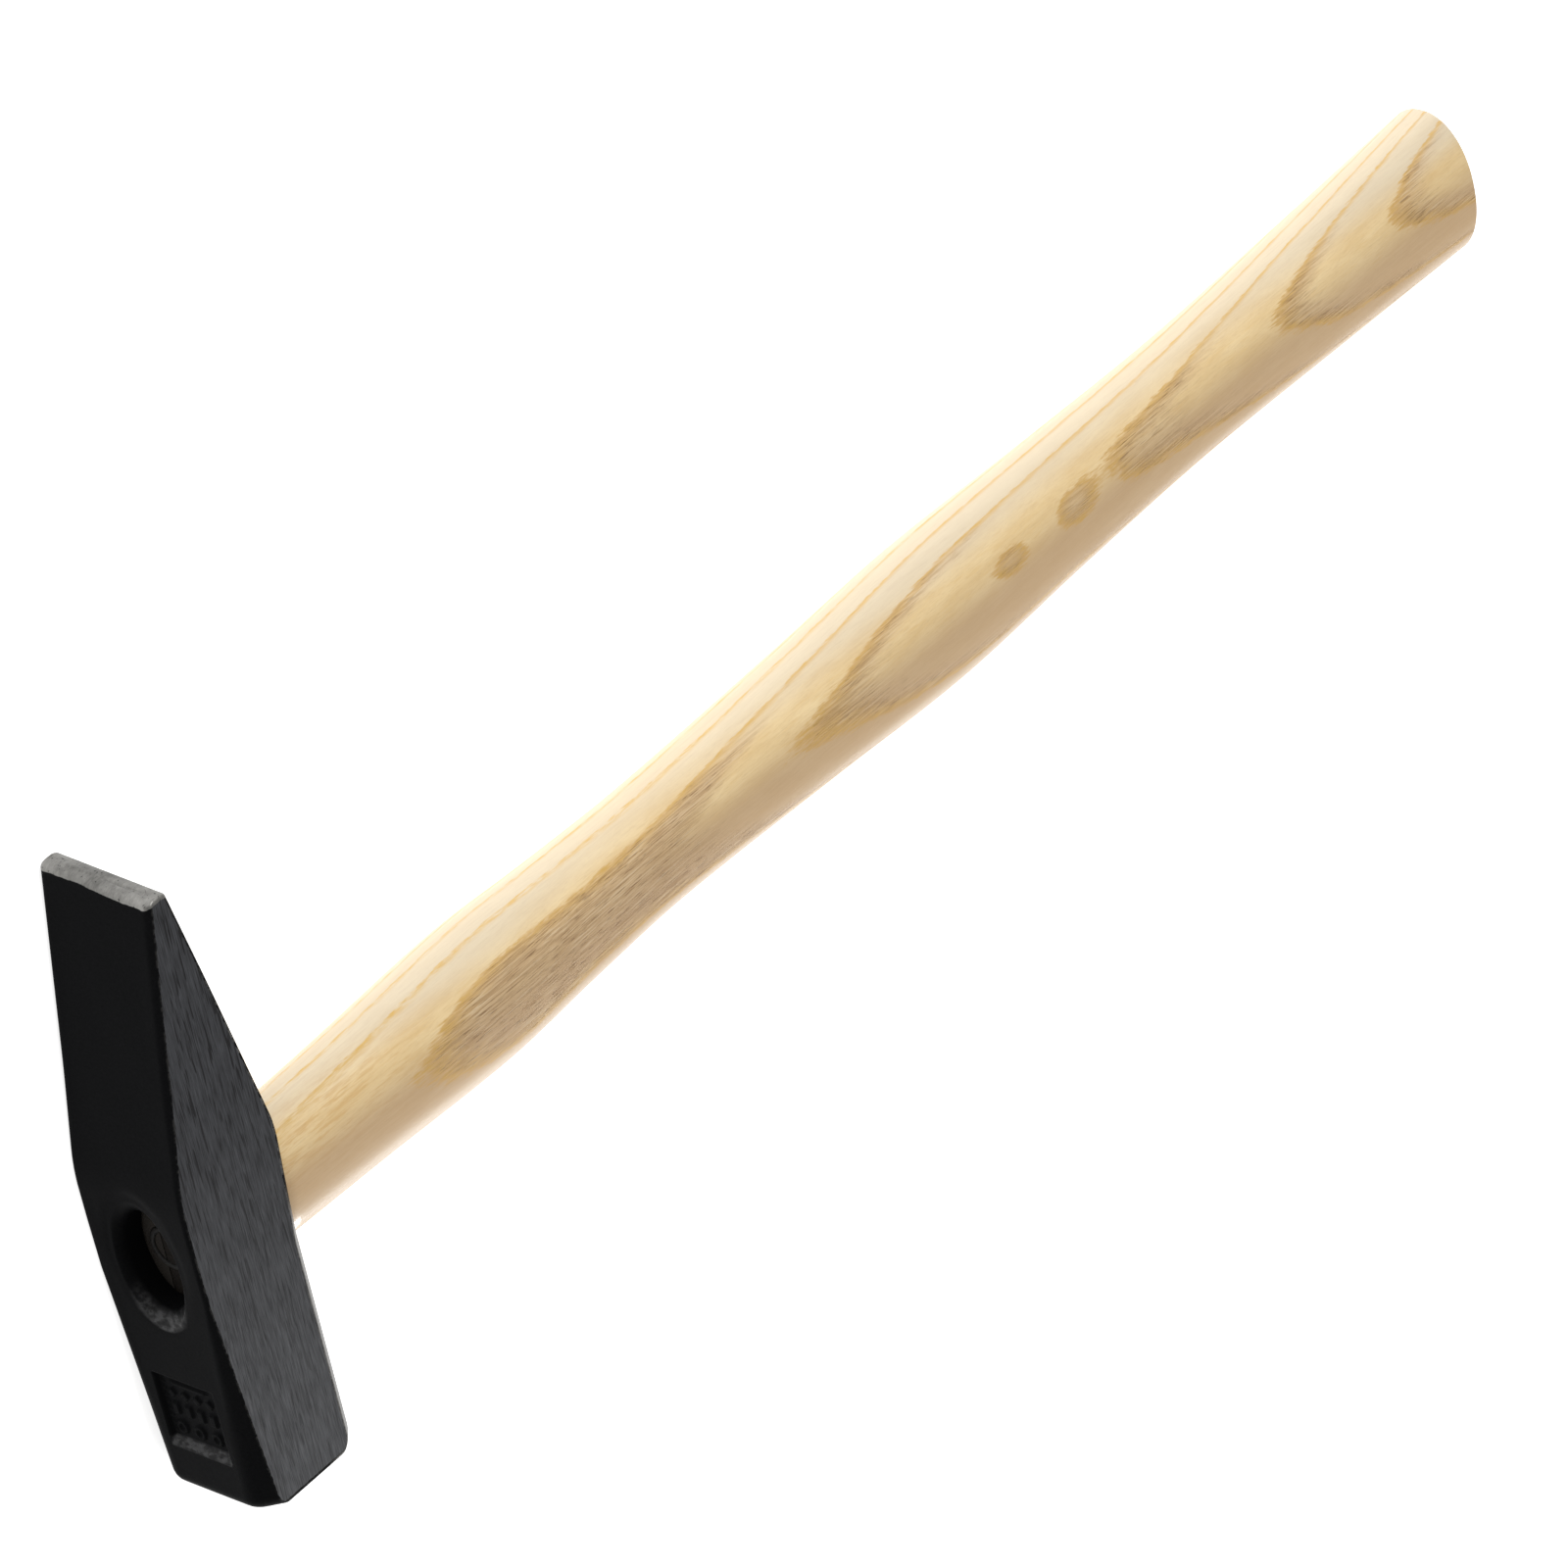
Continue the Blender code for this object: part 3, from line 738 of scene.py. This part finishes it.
def wedge_skin(grow, reach, front):
    """A tapering block: rings along X of a rounded rectangle, in Y and Z."""
    share = np.concatenate([[0, 0.01, 0.03], np.linspace(0.08, 1, 14)])
    x = front + (WEDGE_LENGTH + TENON_X - front) * share
    half_z = (WEDGE_THICK + (WEDGE_TIP - WEDGE_THICK) * (x - TENON_X) / WEDGE_LENGTH) / 2 + grow
    crush = CRUSH * np.array([1, 0.45, 0.1] + [0] * 14)
    turn = np.arange(72) / 72 * 2 * math.pi
    side = np.sign(np.cos(turn)) * np.abs(np.cos(turn)) ** 0.14
    rise = np.sign(np.sin(turn)) * np.abs(np.sin(turn)) ** 0.22
    y = (reach + grow - crush)[:, None] * side
    z = (half_z - crush)[:, None] * rise
    return np.stack([x[:, None] + 0 * y, y, z + AXIS_Z], axis=-1)


def capped(name, skin, depth=0.0):
    """A closed piece from rings along X, with plain flat ends."""
    count, around_it = skin.shape[:2]
    numbers = np.arange(count * around_it).reshape(count, around_it)
    points = skin.reshape(-1, 3)
    quads = [tube_quads(numbers)]
    points, start, fan_start = close_x(points, numbers[0], (0.9, 0.6, 0.3), -depth)
    points, end, fan_end = close_x(points, numbers[-1], (0.9, 0.6, 0.3), 0.0)
    quads += [start[:, ::-1], end]
    fans = np.concatenate([fan_start[:, ::-1], fan_end])
    return mesh_piece(name, points, np.concatenate(quads), fans)


wood_wedge = capped("split_wedge", wedge_skin(0.0, WEDGE_REACH, TENON_X), 0.1)
kerf = capped("kerf", wedge_skin(KERF_PLAY, KERF_REACH, TENON_X - 1.0))

# %% Steel ring wedge
RING_RADIUS, RING_WALL, RING_EDGE, RING_LENGTH, RING_PROUD = 3.4, 0.9, 0.3, 8.0, 0.3


def ring_profile(grow, front):
    """The ring wall's outline as (x, radius): rounded at its head, sharp at its edge."""
    turn = np.linspace(0, math.pi, 11)
    half = RING_WALL / 2 + grow
    middle = RING_RADIUS - RING_WALL / 2
    head_x = front + half * 0.7 * (1 - np.sin(turn))
    head_r = middle - half * np.cos(turn)
    end = TENON_X - RING_PROUD + RING_LENGTH + grow
    share = np.linspace(0, 1, 7)
    start = front + half * 0.7
    out_x = start + (end - start) * share[1:]
    out_r = np.full(6, RING_RADIUS + grow)
    in_x = end + (start - end) * share[:-1]
    in_r = RING_RADIUS - RING_EDGE - (RING_WALL - RING_EDGE) * share[:-1] - grow
    return np.concatenate([head_x, out_x, in_x]), np.concatenate([head_r, out_r, in_r])


def turned(name, profile, count=96):
    """A profile of (x, radius) turned once about the handle's axis."""
    x, radius = profile
    turn = (np.arange(count) / count * 2 * math.pi)[:, None]
    points = np.stack([
        x + 0 * turn, radius * np.cos(turn), AXIS_Z + radius * np.sin(turn),
    ], axis=-1)
    numbers = np.arange(count * len(x)).reshape(count, len(x))
    numbers = np.vstack([numbers, numbers[:1]])
    return mesh_piece(name, points.reshape(-1, 3), tube_quads(numbers))


ring_wedge = turned("steel_ring", ring_profile(0.0, TENON_X - RING_PROUD))
groove = turned("groove", ring_profile(GROOVE_PLAY, TENON_X - 1.5))

# %% Cut the kerf and the groove
SHARP_ANGLE = math.radians(40)
for tool, piece in ((kerf, handle), (groove, handle), (groove, wood_wedge)):
    cut = piece.modifiers.new("cut", "BOOLEAN")
    cut.operation, cut.solver, cut.object = "DIFFERENCE", "EXACT", tool
    bpy.context.view_layer.update()
    bpy.context.view_layer.objects.active = piece
    bpy.ops.object.modifier_apply(modifier=cut.name)
for tool in (kerf, groove):
    bpy.data.objects.remove(tool, do_unlink=True)
for piece in (handle, wood_wedge, ring_wedge):
    piece.data.set_sharp_from_angle(angle=SHARP_ANGLE)
for piece in (handle, wood_wedge):
    print(piece.name, "after its cuts has", len(piece.data.polygons), "faces")

# %% [markdown]
# ## Writing finishes as sums
#
# A finish is a node tree. Written node by node it hides the idea, so one small
# class wraps an output socket and gives it plus, minus, times and the like:
# `1 - mask` then adds its own Math node. Colours and vectors don't go through
# Math nodes, which would turn them grey, but through Mix and Vector Math.

# %% A wire
class Wire:
    """An output socket that takes part in sums with numbers and other wires."""

    def __init__(self, finish, socket):
        self.finish, self.socket = finish, socket

    def math(self, operation, *terms, clamp=False):
        settings = {"operation": operation, "use_clamp": clamp}
        return self.finish.node("ShaderNodeMath", settings, dict(enumerate(terms)))

    def __add__(self, other):
        return self.math("ADD", self, other)

    __radd__ = __add__

    def __sub__(self, other):
        return self.math("SUBTRACT", self, other)

    def __rsub__(self, other):
        return self.math("SUBTRACT", other, self)

    def __mul__(self, other):
        return self.math("MULTIPLY", self, other)

    __rmul__ = __mul__

    def __truediv__(self, other):
        return self.math("DIVIDE", self, other)

    def __neg__(self):
        return self.math("MULTIPLY", self, -1.0)

    def fraction(self):
        return self.math("FRACT", self)

    def sine(self):
        return self.math("SINE", self)

    def cosine(self):
        return self.math("COSINE", self)

    def clipped(self):
        """Held between 0 and 1."""
        return self.math("ADD", self, 0.0, clamp=True)

    def bell(self, middle, width):
        """1 at the middle, falling to both sides as exp(-(distance / width) squared)."""
        away = (self - middle) / width
        return self.math("EXPONENT", -(away * away))

    def rising(self, start, end):
        """0 before start, 1 after end, soft between; a start above end falls instead."""
        if start > end:
            return 1 - self.rising(end, start)
        settings = {"interpolation_type": "SMOOTHSTEP"}
        return self.finish.node(
            "ShaderNodeMapRange", settings, {"Value": self, "From Min": start, "From Max": end},
        )


# %% A finish
class Finish:
    """A material whose nodes are added by one method."""

    def __init__(self, name):
        self.material = bpy.data.materials.new(name)
        self.material.use_nodes = True
        self.tree = self.material.node_tree
        self.shader = self.tree.nodes["Principled BSDF"]

    def plug(self, socket, value):
        """Links a wire to a socket, or writes a plain value into it."""
        if isinstance(value, Wire):
            self.tree.links.new(value.socket, socket)
        elif hasattr(value, "__len__") and len(value) == 3 and socket.type == "RGBA":
            socket.default_value = (*value, 1.0)
        else:
            socket.default_value = value

    def node(self, kind, settings=None, sockets=None, output=0):
        """Adds a node: first its settings, then its sockets; returns one output."""
        made = self.tree.nodes.new(kind)
        for name, value in (settings or {}).items():
            setattr(made, name, value)
        for name, value in (sockets or {}).items():
            self.plug(made.inputs[name], value)
        return Wire(self, made.outputs[output])

    def mix(self, share, first, second):
        """A colour between two colours; a share of 0 gives the first."""
        settings = {"data_type": "RGBA"}
        return self.node("ShaderNodeMix", settings, {0: share, 6: first, 7: second}, 2)

    def coats(self, colour, *coats):
        """Colours laid over one another; each coat is its share and its colour."""
        for share, over in coats:
            colour = self.mix(share, colour, over)
        return colour

    def stretched(self, place, scale, shift=(0.0, 0.0, 0.0)):
        """A place with each axis scaled, after a shift."""
        moved = self.node("ShaderNodeVectorMath", {"operation": "ADD"}, {0: place, 1: shift})
        return self.node("ShaderNodeVectorMath", {"operation": "MULTIPLY"}, {0: moved, 1: scale})

    def noise(self, place, scale=1.0, detail=2.0, roughness=0.5):
        """Soft noise between 0 and 1, about one hump for each unit of place times scale."""
        return self.node("ShaderNodeTexNoise", {"noise_dimensions": "3D"}, {
            "Vector": place, "Scale": scale, "Detail": detail, "Roughness": roughness,
        })

    def grain(self, place, scale, detail, roughness, shift=(0.0, 0.0, 0.0)):
        """Noise with its own number of humps for each millimetre along x, y and z."""
        return self.noise(self.stretched(place, scale, shift), 1.0, detail, roughness)

    def attribute(self, name):
        """A number that the piece stores for each point."""
        return self.node("ShaderNodeAttribute", {"attribute_name": name}, output=2)

    def millimetres(self):
        """The object's own coordinates in millimetres."""
        place = self.node("ShaderNodeTexCoord", output=3)
        return self.node("ShaderNodeVectorMath", {"operation": "SCALE"}, {0: place, 3: 1 / MM})

    def axes(self, place):
        """The three parts of a place."""
        made = self.tree.nodes.new("ShaderNodeSeparateXYZ")
        self.plug(made.inputs[0], place)
        return [Wire(self, made.outputs[k]) for k in range(3)]

    def bump(self, height, distance, strength):
        """A normal from a height; distance is the height's size in metres."""
        sockets = {"Strength": strength, "Distance": distance, "Height": height}
        return self.node("ShaderNodeBump", {}, sockets)

    def set(self, **sockets):
        """Sets the main shader's sockets, with _ in a name for a space."""
        for name, value in sockets.items():
            self.plug(self.shader.inputs[name.replace("_", " ")], value)


# %% Putting a finish on a piece
def dress(piece, finish, replaced):
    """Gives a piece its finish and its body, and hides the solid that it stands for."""
    piece.data.materials.clear()
    piece.data.materials.append(finish.material)
    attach(piece, "root")
    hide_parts(replaced)
    print(piece.name, "stands for", replaced, "with", len(finish.tree.nodes), "nodes")


# %% [markdown]
# ## Blackened steel
#
# The forged skin carries a smooth black stoving paint with a dull gloss. The
# cheeks were ground along their length and then blackened, so they are a
# matter, slightly bluish grey with fine lines along Y. The nose was ground
# bare last. All three are one finish with two masks, because on the real head
# they are one skin. The masks' borders wander a little, as paint edges do.

# %% Head finish: masks
steel = Finish("blackened_steel")
place = steel.millimetres()
x_mm, y_mm, z_mm = steel.axes(place)
cheek = steel.attribute("cheek")
nick = steel.noise(steel.stretched(place, (1.0, 0.8, 1.0)), 1.6, 3.0, 0.6)
cheek_mask = (cheek + (nick - 0.5) * 0.35).rising(-0.05, 0.05)
nose_wave = steel.grain(place, (0.4, 0.1, 0.16), 2.0, 0.5)
nose_line = y_mm + (z_mm - AXIS_Z) * (NOSE_SLANT / (2 * HALF_WIDTH)) + (nose_wave - 0.5) * 0.9
nose_start = NOSE_Y - NOSE_SLANT / 2 - NOSE_RISE + 0.2
nose_mask = (nose_line + (nick - 0.5) * 0.25).rising(nose_start - 0.06, nose_start + 0.06)

# %% Head finish: ground lines on the cheeks
broad_line = steel.grain(place, (1.8, 0.13, 1.8), 2.0, 0.5, (3.0, 9.0, 1.0))
fine_line = steel.grain(place, (6.0, 0.26, 6.0), 3.0, 0.65)
cloud = steel.noise(place, 0.16, 2.0, 0.5)
streak = (fine_line - 0.5) * 2.1 + (broad_line - 0.5) * 0.6 + (cloud - 0.5) * 0.5
scratch = steel.grain(place, (3.6, 0.20, 3.6), 1.0, 0.4, (7.0, 2.0, 5.0))
scratch_mask = scratch.rising(0.585, 0.645)
towards_face = y_mm.rising(30.0, -35.0)
ground = steel.coats(
    (0.016, 0.0165, 0.0187),
    ((streak + 0.45).clipped(), (0.075, 0.078, 0.087)),
    (scratch_mask * 0.85, (0.006, 0.006, 0.007)),
    (towards_face * (0.30 + 0.4 * streak).clipped(), (0.19, 0.194, 0.203)),
)

# %% Head finish: black paint with painted highlights, and bare nose
rubbed_and_highlight_mask = steel.attribute("rubbed_and_highlight")
dust = steel.noise(place, 2.6, 3.0, 0.6)
paint = steel.mix(dust, (0.0032, 0.0033, 0.0036), (0.0078, 0.0080, 0.0086))
blotch = steel.grain(place, (1.2, 1.2, 0.8), 3.0, 0.6)
# A painted highlight, together with polished paint: where the lip and the pocket's wall are
# polished, the black is painted a lighter grey in blotches, on faces that the key light catches.
paint = steel.mix(rubbed_and_highlight_mask * blotch.rising(0.42, 0.64) * 0.8, paint, (0.038, 0.038, 0.040))
grind = steel.grain(place, (1.1, 0.8, 5.5), 4.0, 0.7, (1.0, 0.0, 4.0))
smudge = steel.noise(place, 0.55, 3.0, 0.6)
worn_ends = 1 - z_mm.bell(9.0, 6.0)
bare_share = (grind * 0.9 + smudge * 0.9 - 0.52 + worn_ends * 0.30).clipped()
bare = steel.mix(bare_share, (0.065, 0.064, 0.060), (0.30, 0.295, 0.28))
speck = steel.noise(place, 2.3, 2.0, 0.5)
bare = steel.mix(speck.rising(0.64, 0.72) * 0.8, bare, (0.02, 0.02, 0.02))

# %% Head finish: edges with wear and painted highlights, and all of it together
uneven = cheek + (nick - 0.5) * 0.3
# Partly wear of the paint, partly a painted highlight: a thin lighter line along the cheeks'
# edges, mostly on the handle's side, where these edges catch the light.
worn_and_lit_band = uneven.rising(-0.35, -0.12) * uneven.rising(0.06, -0.02)
patchy = steel.grain(place, (0.5, 0.9, 0.5), 4.0, 0.65).rising(0.42, 0.62)
handle_side = x_mm.rising(3.0, 6.0)
worn_and_lit_edge = worn_and_lit_band * patchy * (0.2 + 0.8 * handle_side)
# A painted highlight: a lighter, glossier band on the handle's side chamfer, towards the face,
# where this edge catches the light.
chamfer_highlight = uneven.rising(-3.2, -2.4) * uneven.rising(0.0, -0.15) * handle_side
chamfer_highlight = chamfer_highlight * y_mm.rising(4.0, -4.0)

colour = steel.coats(
    paint,
    (cheek_mask, ground),
    (worn_and_lit_edge * 0.6, (0.20, 0.195, 0.185)),
    (chamfer_highlight * 0.55, (0.16, 0.155, 0.145)),
    (nose_mask, bare),
)
rough = 0.34 + 0.10 * dust + cheek_mask * 0.14 + nose_mask * (0.04 + 0.2 * (grind - 0.5))
peel = steel.noise(place, 0.9, 3.0, 0.55)
height = (1 - cheek_mask) * (peel * 0.6 + dust * 0.15 + rubbed_and_highlight_mask * blotch * 1.4)
height = height + cheek_mask * (fine_line * 0.45 - scratch_mask * 0.5) + nose_mask * grind * 0.5
steel.set(
    Base_Color=colour, Roughness=rough, Metallic=nose_mask * 0.8 + cheek_mask * 0.2,
    Coat_Weight=(cheek_mask * 0.40 + rubbed_and_highlight_mask * (0.7 * blotch) + chamfer_highlight * 0.6).clipped(),
    Normal=steel.bump(height, 0.00006, 0.6),
    Coat_Roughness=0.33, Specular_IOR_Level=0.008,
)
dress(head, steel, "hammer_head")

# %% [markdown]
# ## Ash
#
# Ash is ring-porous: each year starts with a band of wide vessels, which look
# like fine brown dashes along the grain, and ends in dense pale wood. A year's
# layer is nearly a flat sheet inside a handle this thin, slightly curved and
# sloping along the handle. So one number tells the layer: the height above
# the handle's axis, plus slopes times x and y, plus a little curvature and
# twist. Its whole part is the year, its fraction is the place in the year. Where the sheets
# leave the surface at a shallow angle they draw long pointed arches.
#
# A trunk isn't even: a ripple near x = 172 mm pinches a layer into two small
# islands, and a bulge near x = 112 mm holds an arch back. The brown bands are
# strong only in the later years and on the crown of the handle, since the
# sides cut the layers steeply. The two edges carry painted light and shade:
# the edge that faces the key light is painted paler and greyer, and the edge
# in shade is painted warmer and darker.

# %% Ash: the year's layer
ash = Finish("ash")
place = ash.millimetres()
x_mm, y_mm, z_mm = ash.axes(place)
RING_SPACING, RING_START = 2.46, 1.31
SLOPE_X, SLOPE_Y, CURVE_X, CURVE_Y, TWIST = 5.01, 1.23, 1.40, 1.08, 1.08
GRAIN_MIDDLE, GRAIN_HALF, GRAIN_ACROSS = 140, 130, 10
ISLAND_X, BULGE_X, RIPPLE_X, RIPPLE_LENGTH = 172, 112, 162, 16
# Added before the fraction is taken, so that no year is below nought.
WHOLE_YEARS = 20
above = z_mm - AXIS_Z
along_x = (x_mm - GRAIN_MIDDLE) / GRAIN_HALF
across_y = y_mm / GRAIN_ACROSS
layer = above + SLOPE_X * along_x + SLOPE_Y * across_y + CURVE_Y * across_y * across_y
layer = layer + CURVE_X * along_x * along_x + TWIST * along_x * across_y
slow = ash.grain(place, (0.035, 0.10, 0.10), 2.0, 0.5, (0.0, 4.0, 0.0))
crest_way = above * 0.677 - y_mm * 0.737
ripple_way = (x_mm - RIPPLE_X) * (2 * math.pi / RIPPLE_LENGTH)
ripple = ripple_way.cosine() * 0.40 + 0.27 - (x_mm - ISLAND_X) * 0.022
ripple = ripple * x_mm.bell(ISLAND_X, 18) * crest_way.bell(2.6, 2.4)
bulge = x_mm.bell(BULGE_X, 14) * 0.46 + x_mm.bell(28, 10) * 0.12
layer = layer + (slow - 0.5) * 0.4 + ripple + bulge * crest_way.bell(3.2, 4.0)
jitter = ash.grain(place, (0.16, 1.3, 1.3), 3.0, 0.6)
speck = ash.grain(place, (0.5, 3.6, 3.6), 2.0, 0.6, (1.0, 3.0, 8.0))
layer = layer + (jitter - 0.5) * 0.26 + (speck - 0.5) * 0.45
year = (layer - RING_START) / RING_SPACING
swell = (year - 0.4) * (2 * math.pi / 8.5)
year = year - 0.26 * swell.sine()
in_year = (year + WHOLE_YEARS).fraction()

# %% Ash: colours in the year, and painted light and shade on the edges
strong_year = year.rising(0.55, 0.85)
crown = 1 - (1 - above.rising(3.9, 5.5)) * y_mm.rising(-2.0, 2.0)
onset = in_year.rising(0.0, 0.08)
fade_end = 0.64 - 0.20 * x_mm.rising(98, 125)
early = in_year.rising(0.03, 0.15) * ((fade_end - in_year) / 0.34).rising(0.0, 1.0)
early = early * (0.10 + 0.90 * strong_year) * (0.10 + 0.90 * crown)
line = onset * (in_year + 0.06 * strong_year).rising(0.34, 0.10)
cloud = ash.grain(place, (0.07, 0.32, 0.32), 4.0, 0.6, (2.0, 0.0, 0.0))
fleck = ash.grain(place, (0.20, 2.1, 2.1), 3.0, 0.65, (0.0, 7.0, 3.0))
fibre = ash.grain(place, (0.7, 6.5, 6.5), 2.0, 0.6, (4.0, 0.0, 9.0))
neck_streak = fleck.rising(0.46, 0.62) * x_mm.rising(48.0, 22.0) * y_mm.rising(-4.0, 3.0)
late_colour_lit_and_shaded = ash.coats(
    (0.73, 0.52, 0.250),
    ((cloud * 2.4 - 0.7).clipped(), (0.87, 0.68, 0.385)),
    (fibre.rising(0.48, 0.66) * 0.16, (0.52, 0.34, 0.17)),
    (fleck.rising(0.50, 0.75) * 0.40, (0.74, 0.50, 0.20)),
    (neck_streak * 0.55, (0.66, 0.41, 0.16)),
    # Painted light: the edge facing the key light, above y = 6 mm, is painted a paler, greyer
    # tone.
    (y_mm.rising(6.0, 10.0) * 0.80, (0.64, 0.56, 0.43)),
    # Painted shade: the edge away from the key light, below y = 5 mm, is painted a darker, warmer
    # brown.
    (y_mm.rising(5.0, -0.5) * 0.74, (0.54, 0.36, 0.205)),
)
early_colour = ash.mix(fleck, (0.47, 0.31, 0.165), (0.63, 0.435, 0.245))
first = onset * in_year.rising(0.22, 0.07) * strong_year * (0.45 + 0.55 * crown)
dotted = ((fleck + speck) * 2.4 - 1.95).clipped()
dotted = dotted + (1 - dotted) * (0.12 + 0.22 * strong_year)
wood = ash.coats(
    late_colour_lit_and_shaded,
    (first * 0.66, (0.60, 0.355, 0.165)),
    (early * 0.82, early_colour),
    (line * dotted, (0.64, 0.40, 0.105)),
)

# %% Ash: vessels as fine dashes, and the black inside the eye
dash = ash.grain(place, (0.11, 4.4, 4.4), 2.0, 0.6)
dash_two = ash.grain(place, (0.34, 5.5, 5.5), 1.0, 0.5, (5.0, 1.0, 2.0))
vessel = dash.rising(0.48, 0.63) * (0.10 + 0.90 * early)
vessel_two = dash_two.rising(0.60, 0.70) * (0.08 + 0.92 * early)
pale = dash.rising(0.46, 0.33) * (0.12 + 0.7 * early)
calm = 1 - 0.75 * x_mm.bell(170, 13)
in_eye = x_mm.rising(2.0, -2.0)
wood = ash.coats(
    wood,
    (vessel * 0.42 * calm, (0.31, 0.175, 0.075)),
    (vessel_two * 0.60 * calm, (0.20, 0.11, 0.045)),
    (pale * 0.45 * calm, (0.84, 0.69, 0.47)),
    (in_eye * 0.99, (0.0035, 0.003, 0.0028)),
)
pores = vessel * 0.7 + vessel_two * 0.5 + early * 0.10 * dash
ash.set(
    Base_Color=wood, Roughness=0.50 + 0.12 * early + 0.1 * (cloud - 0.5) + 0.3 * in_eye,
    Coat_Weight=(0.5 - 0.3 * pores.clipped()) * (1 - in_eye), Coat_Roughness=0.25,
    Normal=ash.bump(-pores, 0.00009, 0.55), Specular_IOR_Level=0.25,
)
dress(handle, ash, "handle")

# %% [markdown]
# ## Finishes of the wedges
#
# Both wedges sit deep in the eye, where the black paint has reached them. The
# wooden one shows its own fibres across the tenon's, the ring is dull steel, a
# little brighter on the end that the hammer struck.

# %% Wedges
beech = Finish("wedge_beech")
place = beech.millimetres()
fibre = beech.grain(place, (0.4, 1.2, 7.0), 3.0, 0.6)
fleck = beech.grain(place, (1.0, 2.5, 2.5), 2.0, 0.5)
tone = beech.mix(fibre, (0.003, 0.0025, 0.002), (0.011, 0.008, 0.006))
tone = beech.mix(fleck.rising(0.6, 0.75) * 0.6, tone, (0.008, 0.006, 0.005))
beech.set(
    Base_Color=tone, Roughness=0.62 + 0.15 * fleck, Normal=beech.bump(fibre, 0.00012, 0.7),
    Specular_IOR_Level=0.1,
)
dress(wood_wedge, beech, "wood_wedge")

ring_steel = Finish("ring_steel")
place = ring_steel.millimetres()
x_mm = ring_steel.axes(place)[0]
scale_noise = ring_steel.noise(place, 1.7, 3.0, 0.6)
front = x_mm.rising(TENON_X + 0.35, TENON_X - 0.1) * scale_noise.rising(0.4, 0.6)
tone = ring_steel.mix(front, (0.004, 0.004, 0.004), (0.020, 0.019, 0.018))
ring_steel.set(
    Base_Color=tone, Roughness=0.42 + 0.2 * scale_noise, Metallic=0.6 * front,
    Normal=ring_steel.bump(scale_noise, 0.00008, 0.6), Specular_IOR_Level=0.15,
)
dress(ring_wedge, ring_steel, "ring_wedge")

# %% [markdown]
# ## Floor, light and camera
#
# The hammer lies on a white table that glows a little, as a light table does,
# so the floor stays pale right up to the object. One large soft light stands
# beyond the peen, a second, low on the other side, gives the handle its bright
# lower rim, and the white surroundings fill the rest. The camera stands well
# back with a long lens, so the handle's two edges hardly close in.

# %% Floor
FLOOR_HALF, FLOOR_Z = 4.0, -0.00005
floor_corners = [
    (x * FLOOR_HALF, y * FLOOR_HALF, FLOOR_Z) for x, y in ((-1, -1), (1, -1), (1, 1), (-1, 1))
]
floor_mesh = bpy.data.meshes.new("table")
floor_mesh.from_pydata(floor_corners, [], [(0, 1, 2, 3)])
floor = bpy.data.objects.new("table", floor_mesh)
bpy.context.scene.collection.objects.link(floor)
table = Finish("white_table")
unevenness = table.noise(table.millimetres(), 0.02, 2.0, 0.5)
table.set(
    Base_Color=table.mix(unevenness, (0.90, 0.90, 0.90), (0.93, 0.93, 0.93)), Roughness=0.7,
    Emission_Color=(1.0, 1.0, 1.0), Emission_Strength=0.78, Specular_IOR_Level=0.2,
)
floor.data.materials.append(table.material)
print("table", 2 * FLOOR_HALF, "m wide")

# %% Lights
AIM = Vector((0.118, 0.0, AXIS_Z * MM))
LIGHT_DISTANCE = 1.1
ROOM_COLOUR, ROOM_STRENGTH = (1.0, 0.985, 0.965, 1.0), 0.45


def soft_light(name, direction, size, power):
    """A square area light at a distance from the hammer, turned to face it."""
    lamp = bpy.data.lights.new(name, "AREA")
    lamp.shape, lamp.size, lamp.energy = "SQUARE", size, power
    stand = bpy.data.objects.new(name, lamp)
    away = Vector(direction).normalized()
    stand.location = AIM + away * LIGHT_DISTANCE
    stand.rotation_mode = "QUATERNION"
    stand.rotation_quaternion = (-away).to_track_quat("-Z", "Y")
    stand.visible_camera = False
    bpy.context.scene.collection.objects.link(stand)
    print(name, "at", [round(v, 2) for v in stand.location])


soft_light("key_beyond_peen", (0.05, 1.0, 0.75), 0.5, 6.9)
soft_light("low_rim", (0.20, -1.0, 0.05), 0.4, 13.0)
world = bpy.data.worlds.new("white_room")
world.use_nodes = True
background = world.node_tree.nodes["Background"]
background.inputs["Color"].default_value = ROOM_COLOUR
background.inputs["Strength"].default_value = ROOM_STRENGTH
bpy.context.scene.world = world

# %% Camera
LENS, SENSOR_WIDTH = 230.936, 36
LOOKING_AT, CAMERA_DISTANCE = Vector((0.11872, -0.00777, 0.0095)), 1.36387
AZIMUTH, ELEVATION, ROLL = 136.02, 37.194, -107.506

camera_data = bpy.data.cameras.new("camera")
camera_data.lens, camera_data.sensor_width = LENS, SENSOR_WIDTH
camera_data.clip_end = 50
camera = bpy.data.objects.new("camera", camera_data)
bpy.context.scene.collection.objects.link(camera)
azimuth, elevation, roll = (math.radians(v) for v in (AZIMUTH, ELEVATION, ROLL))
back = Vector((
    math.cos(elevation) * math.cos(azimuth), math.cos(elevation) * math.sin(azimuth),
    math.sin(elevation),
))
right = Vector((0, 0, 1)).cross(back).normalized()
up = back.cross(right)
turned_right = right * math.cos(roll) - up * math.sin(roll)
turned_up = right * math.sin(roll) + up * math.cos(roll)
stand = Matrix((turned_right, turned_up, back)).transposed().to_4x4()
stand.translation = LOOKING_AT + back * CAMERA_DISTANCE
camera.matrix_world = stand
bpy.context.scene.camera = camera
bpy.context.scene.view_settings.view_transform = "Standard"
print("camera at", [round(v, 3) for v in stand.translation])

# %% Update the scene
bpy.context.view_layer.update()
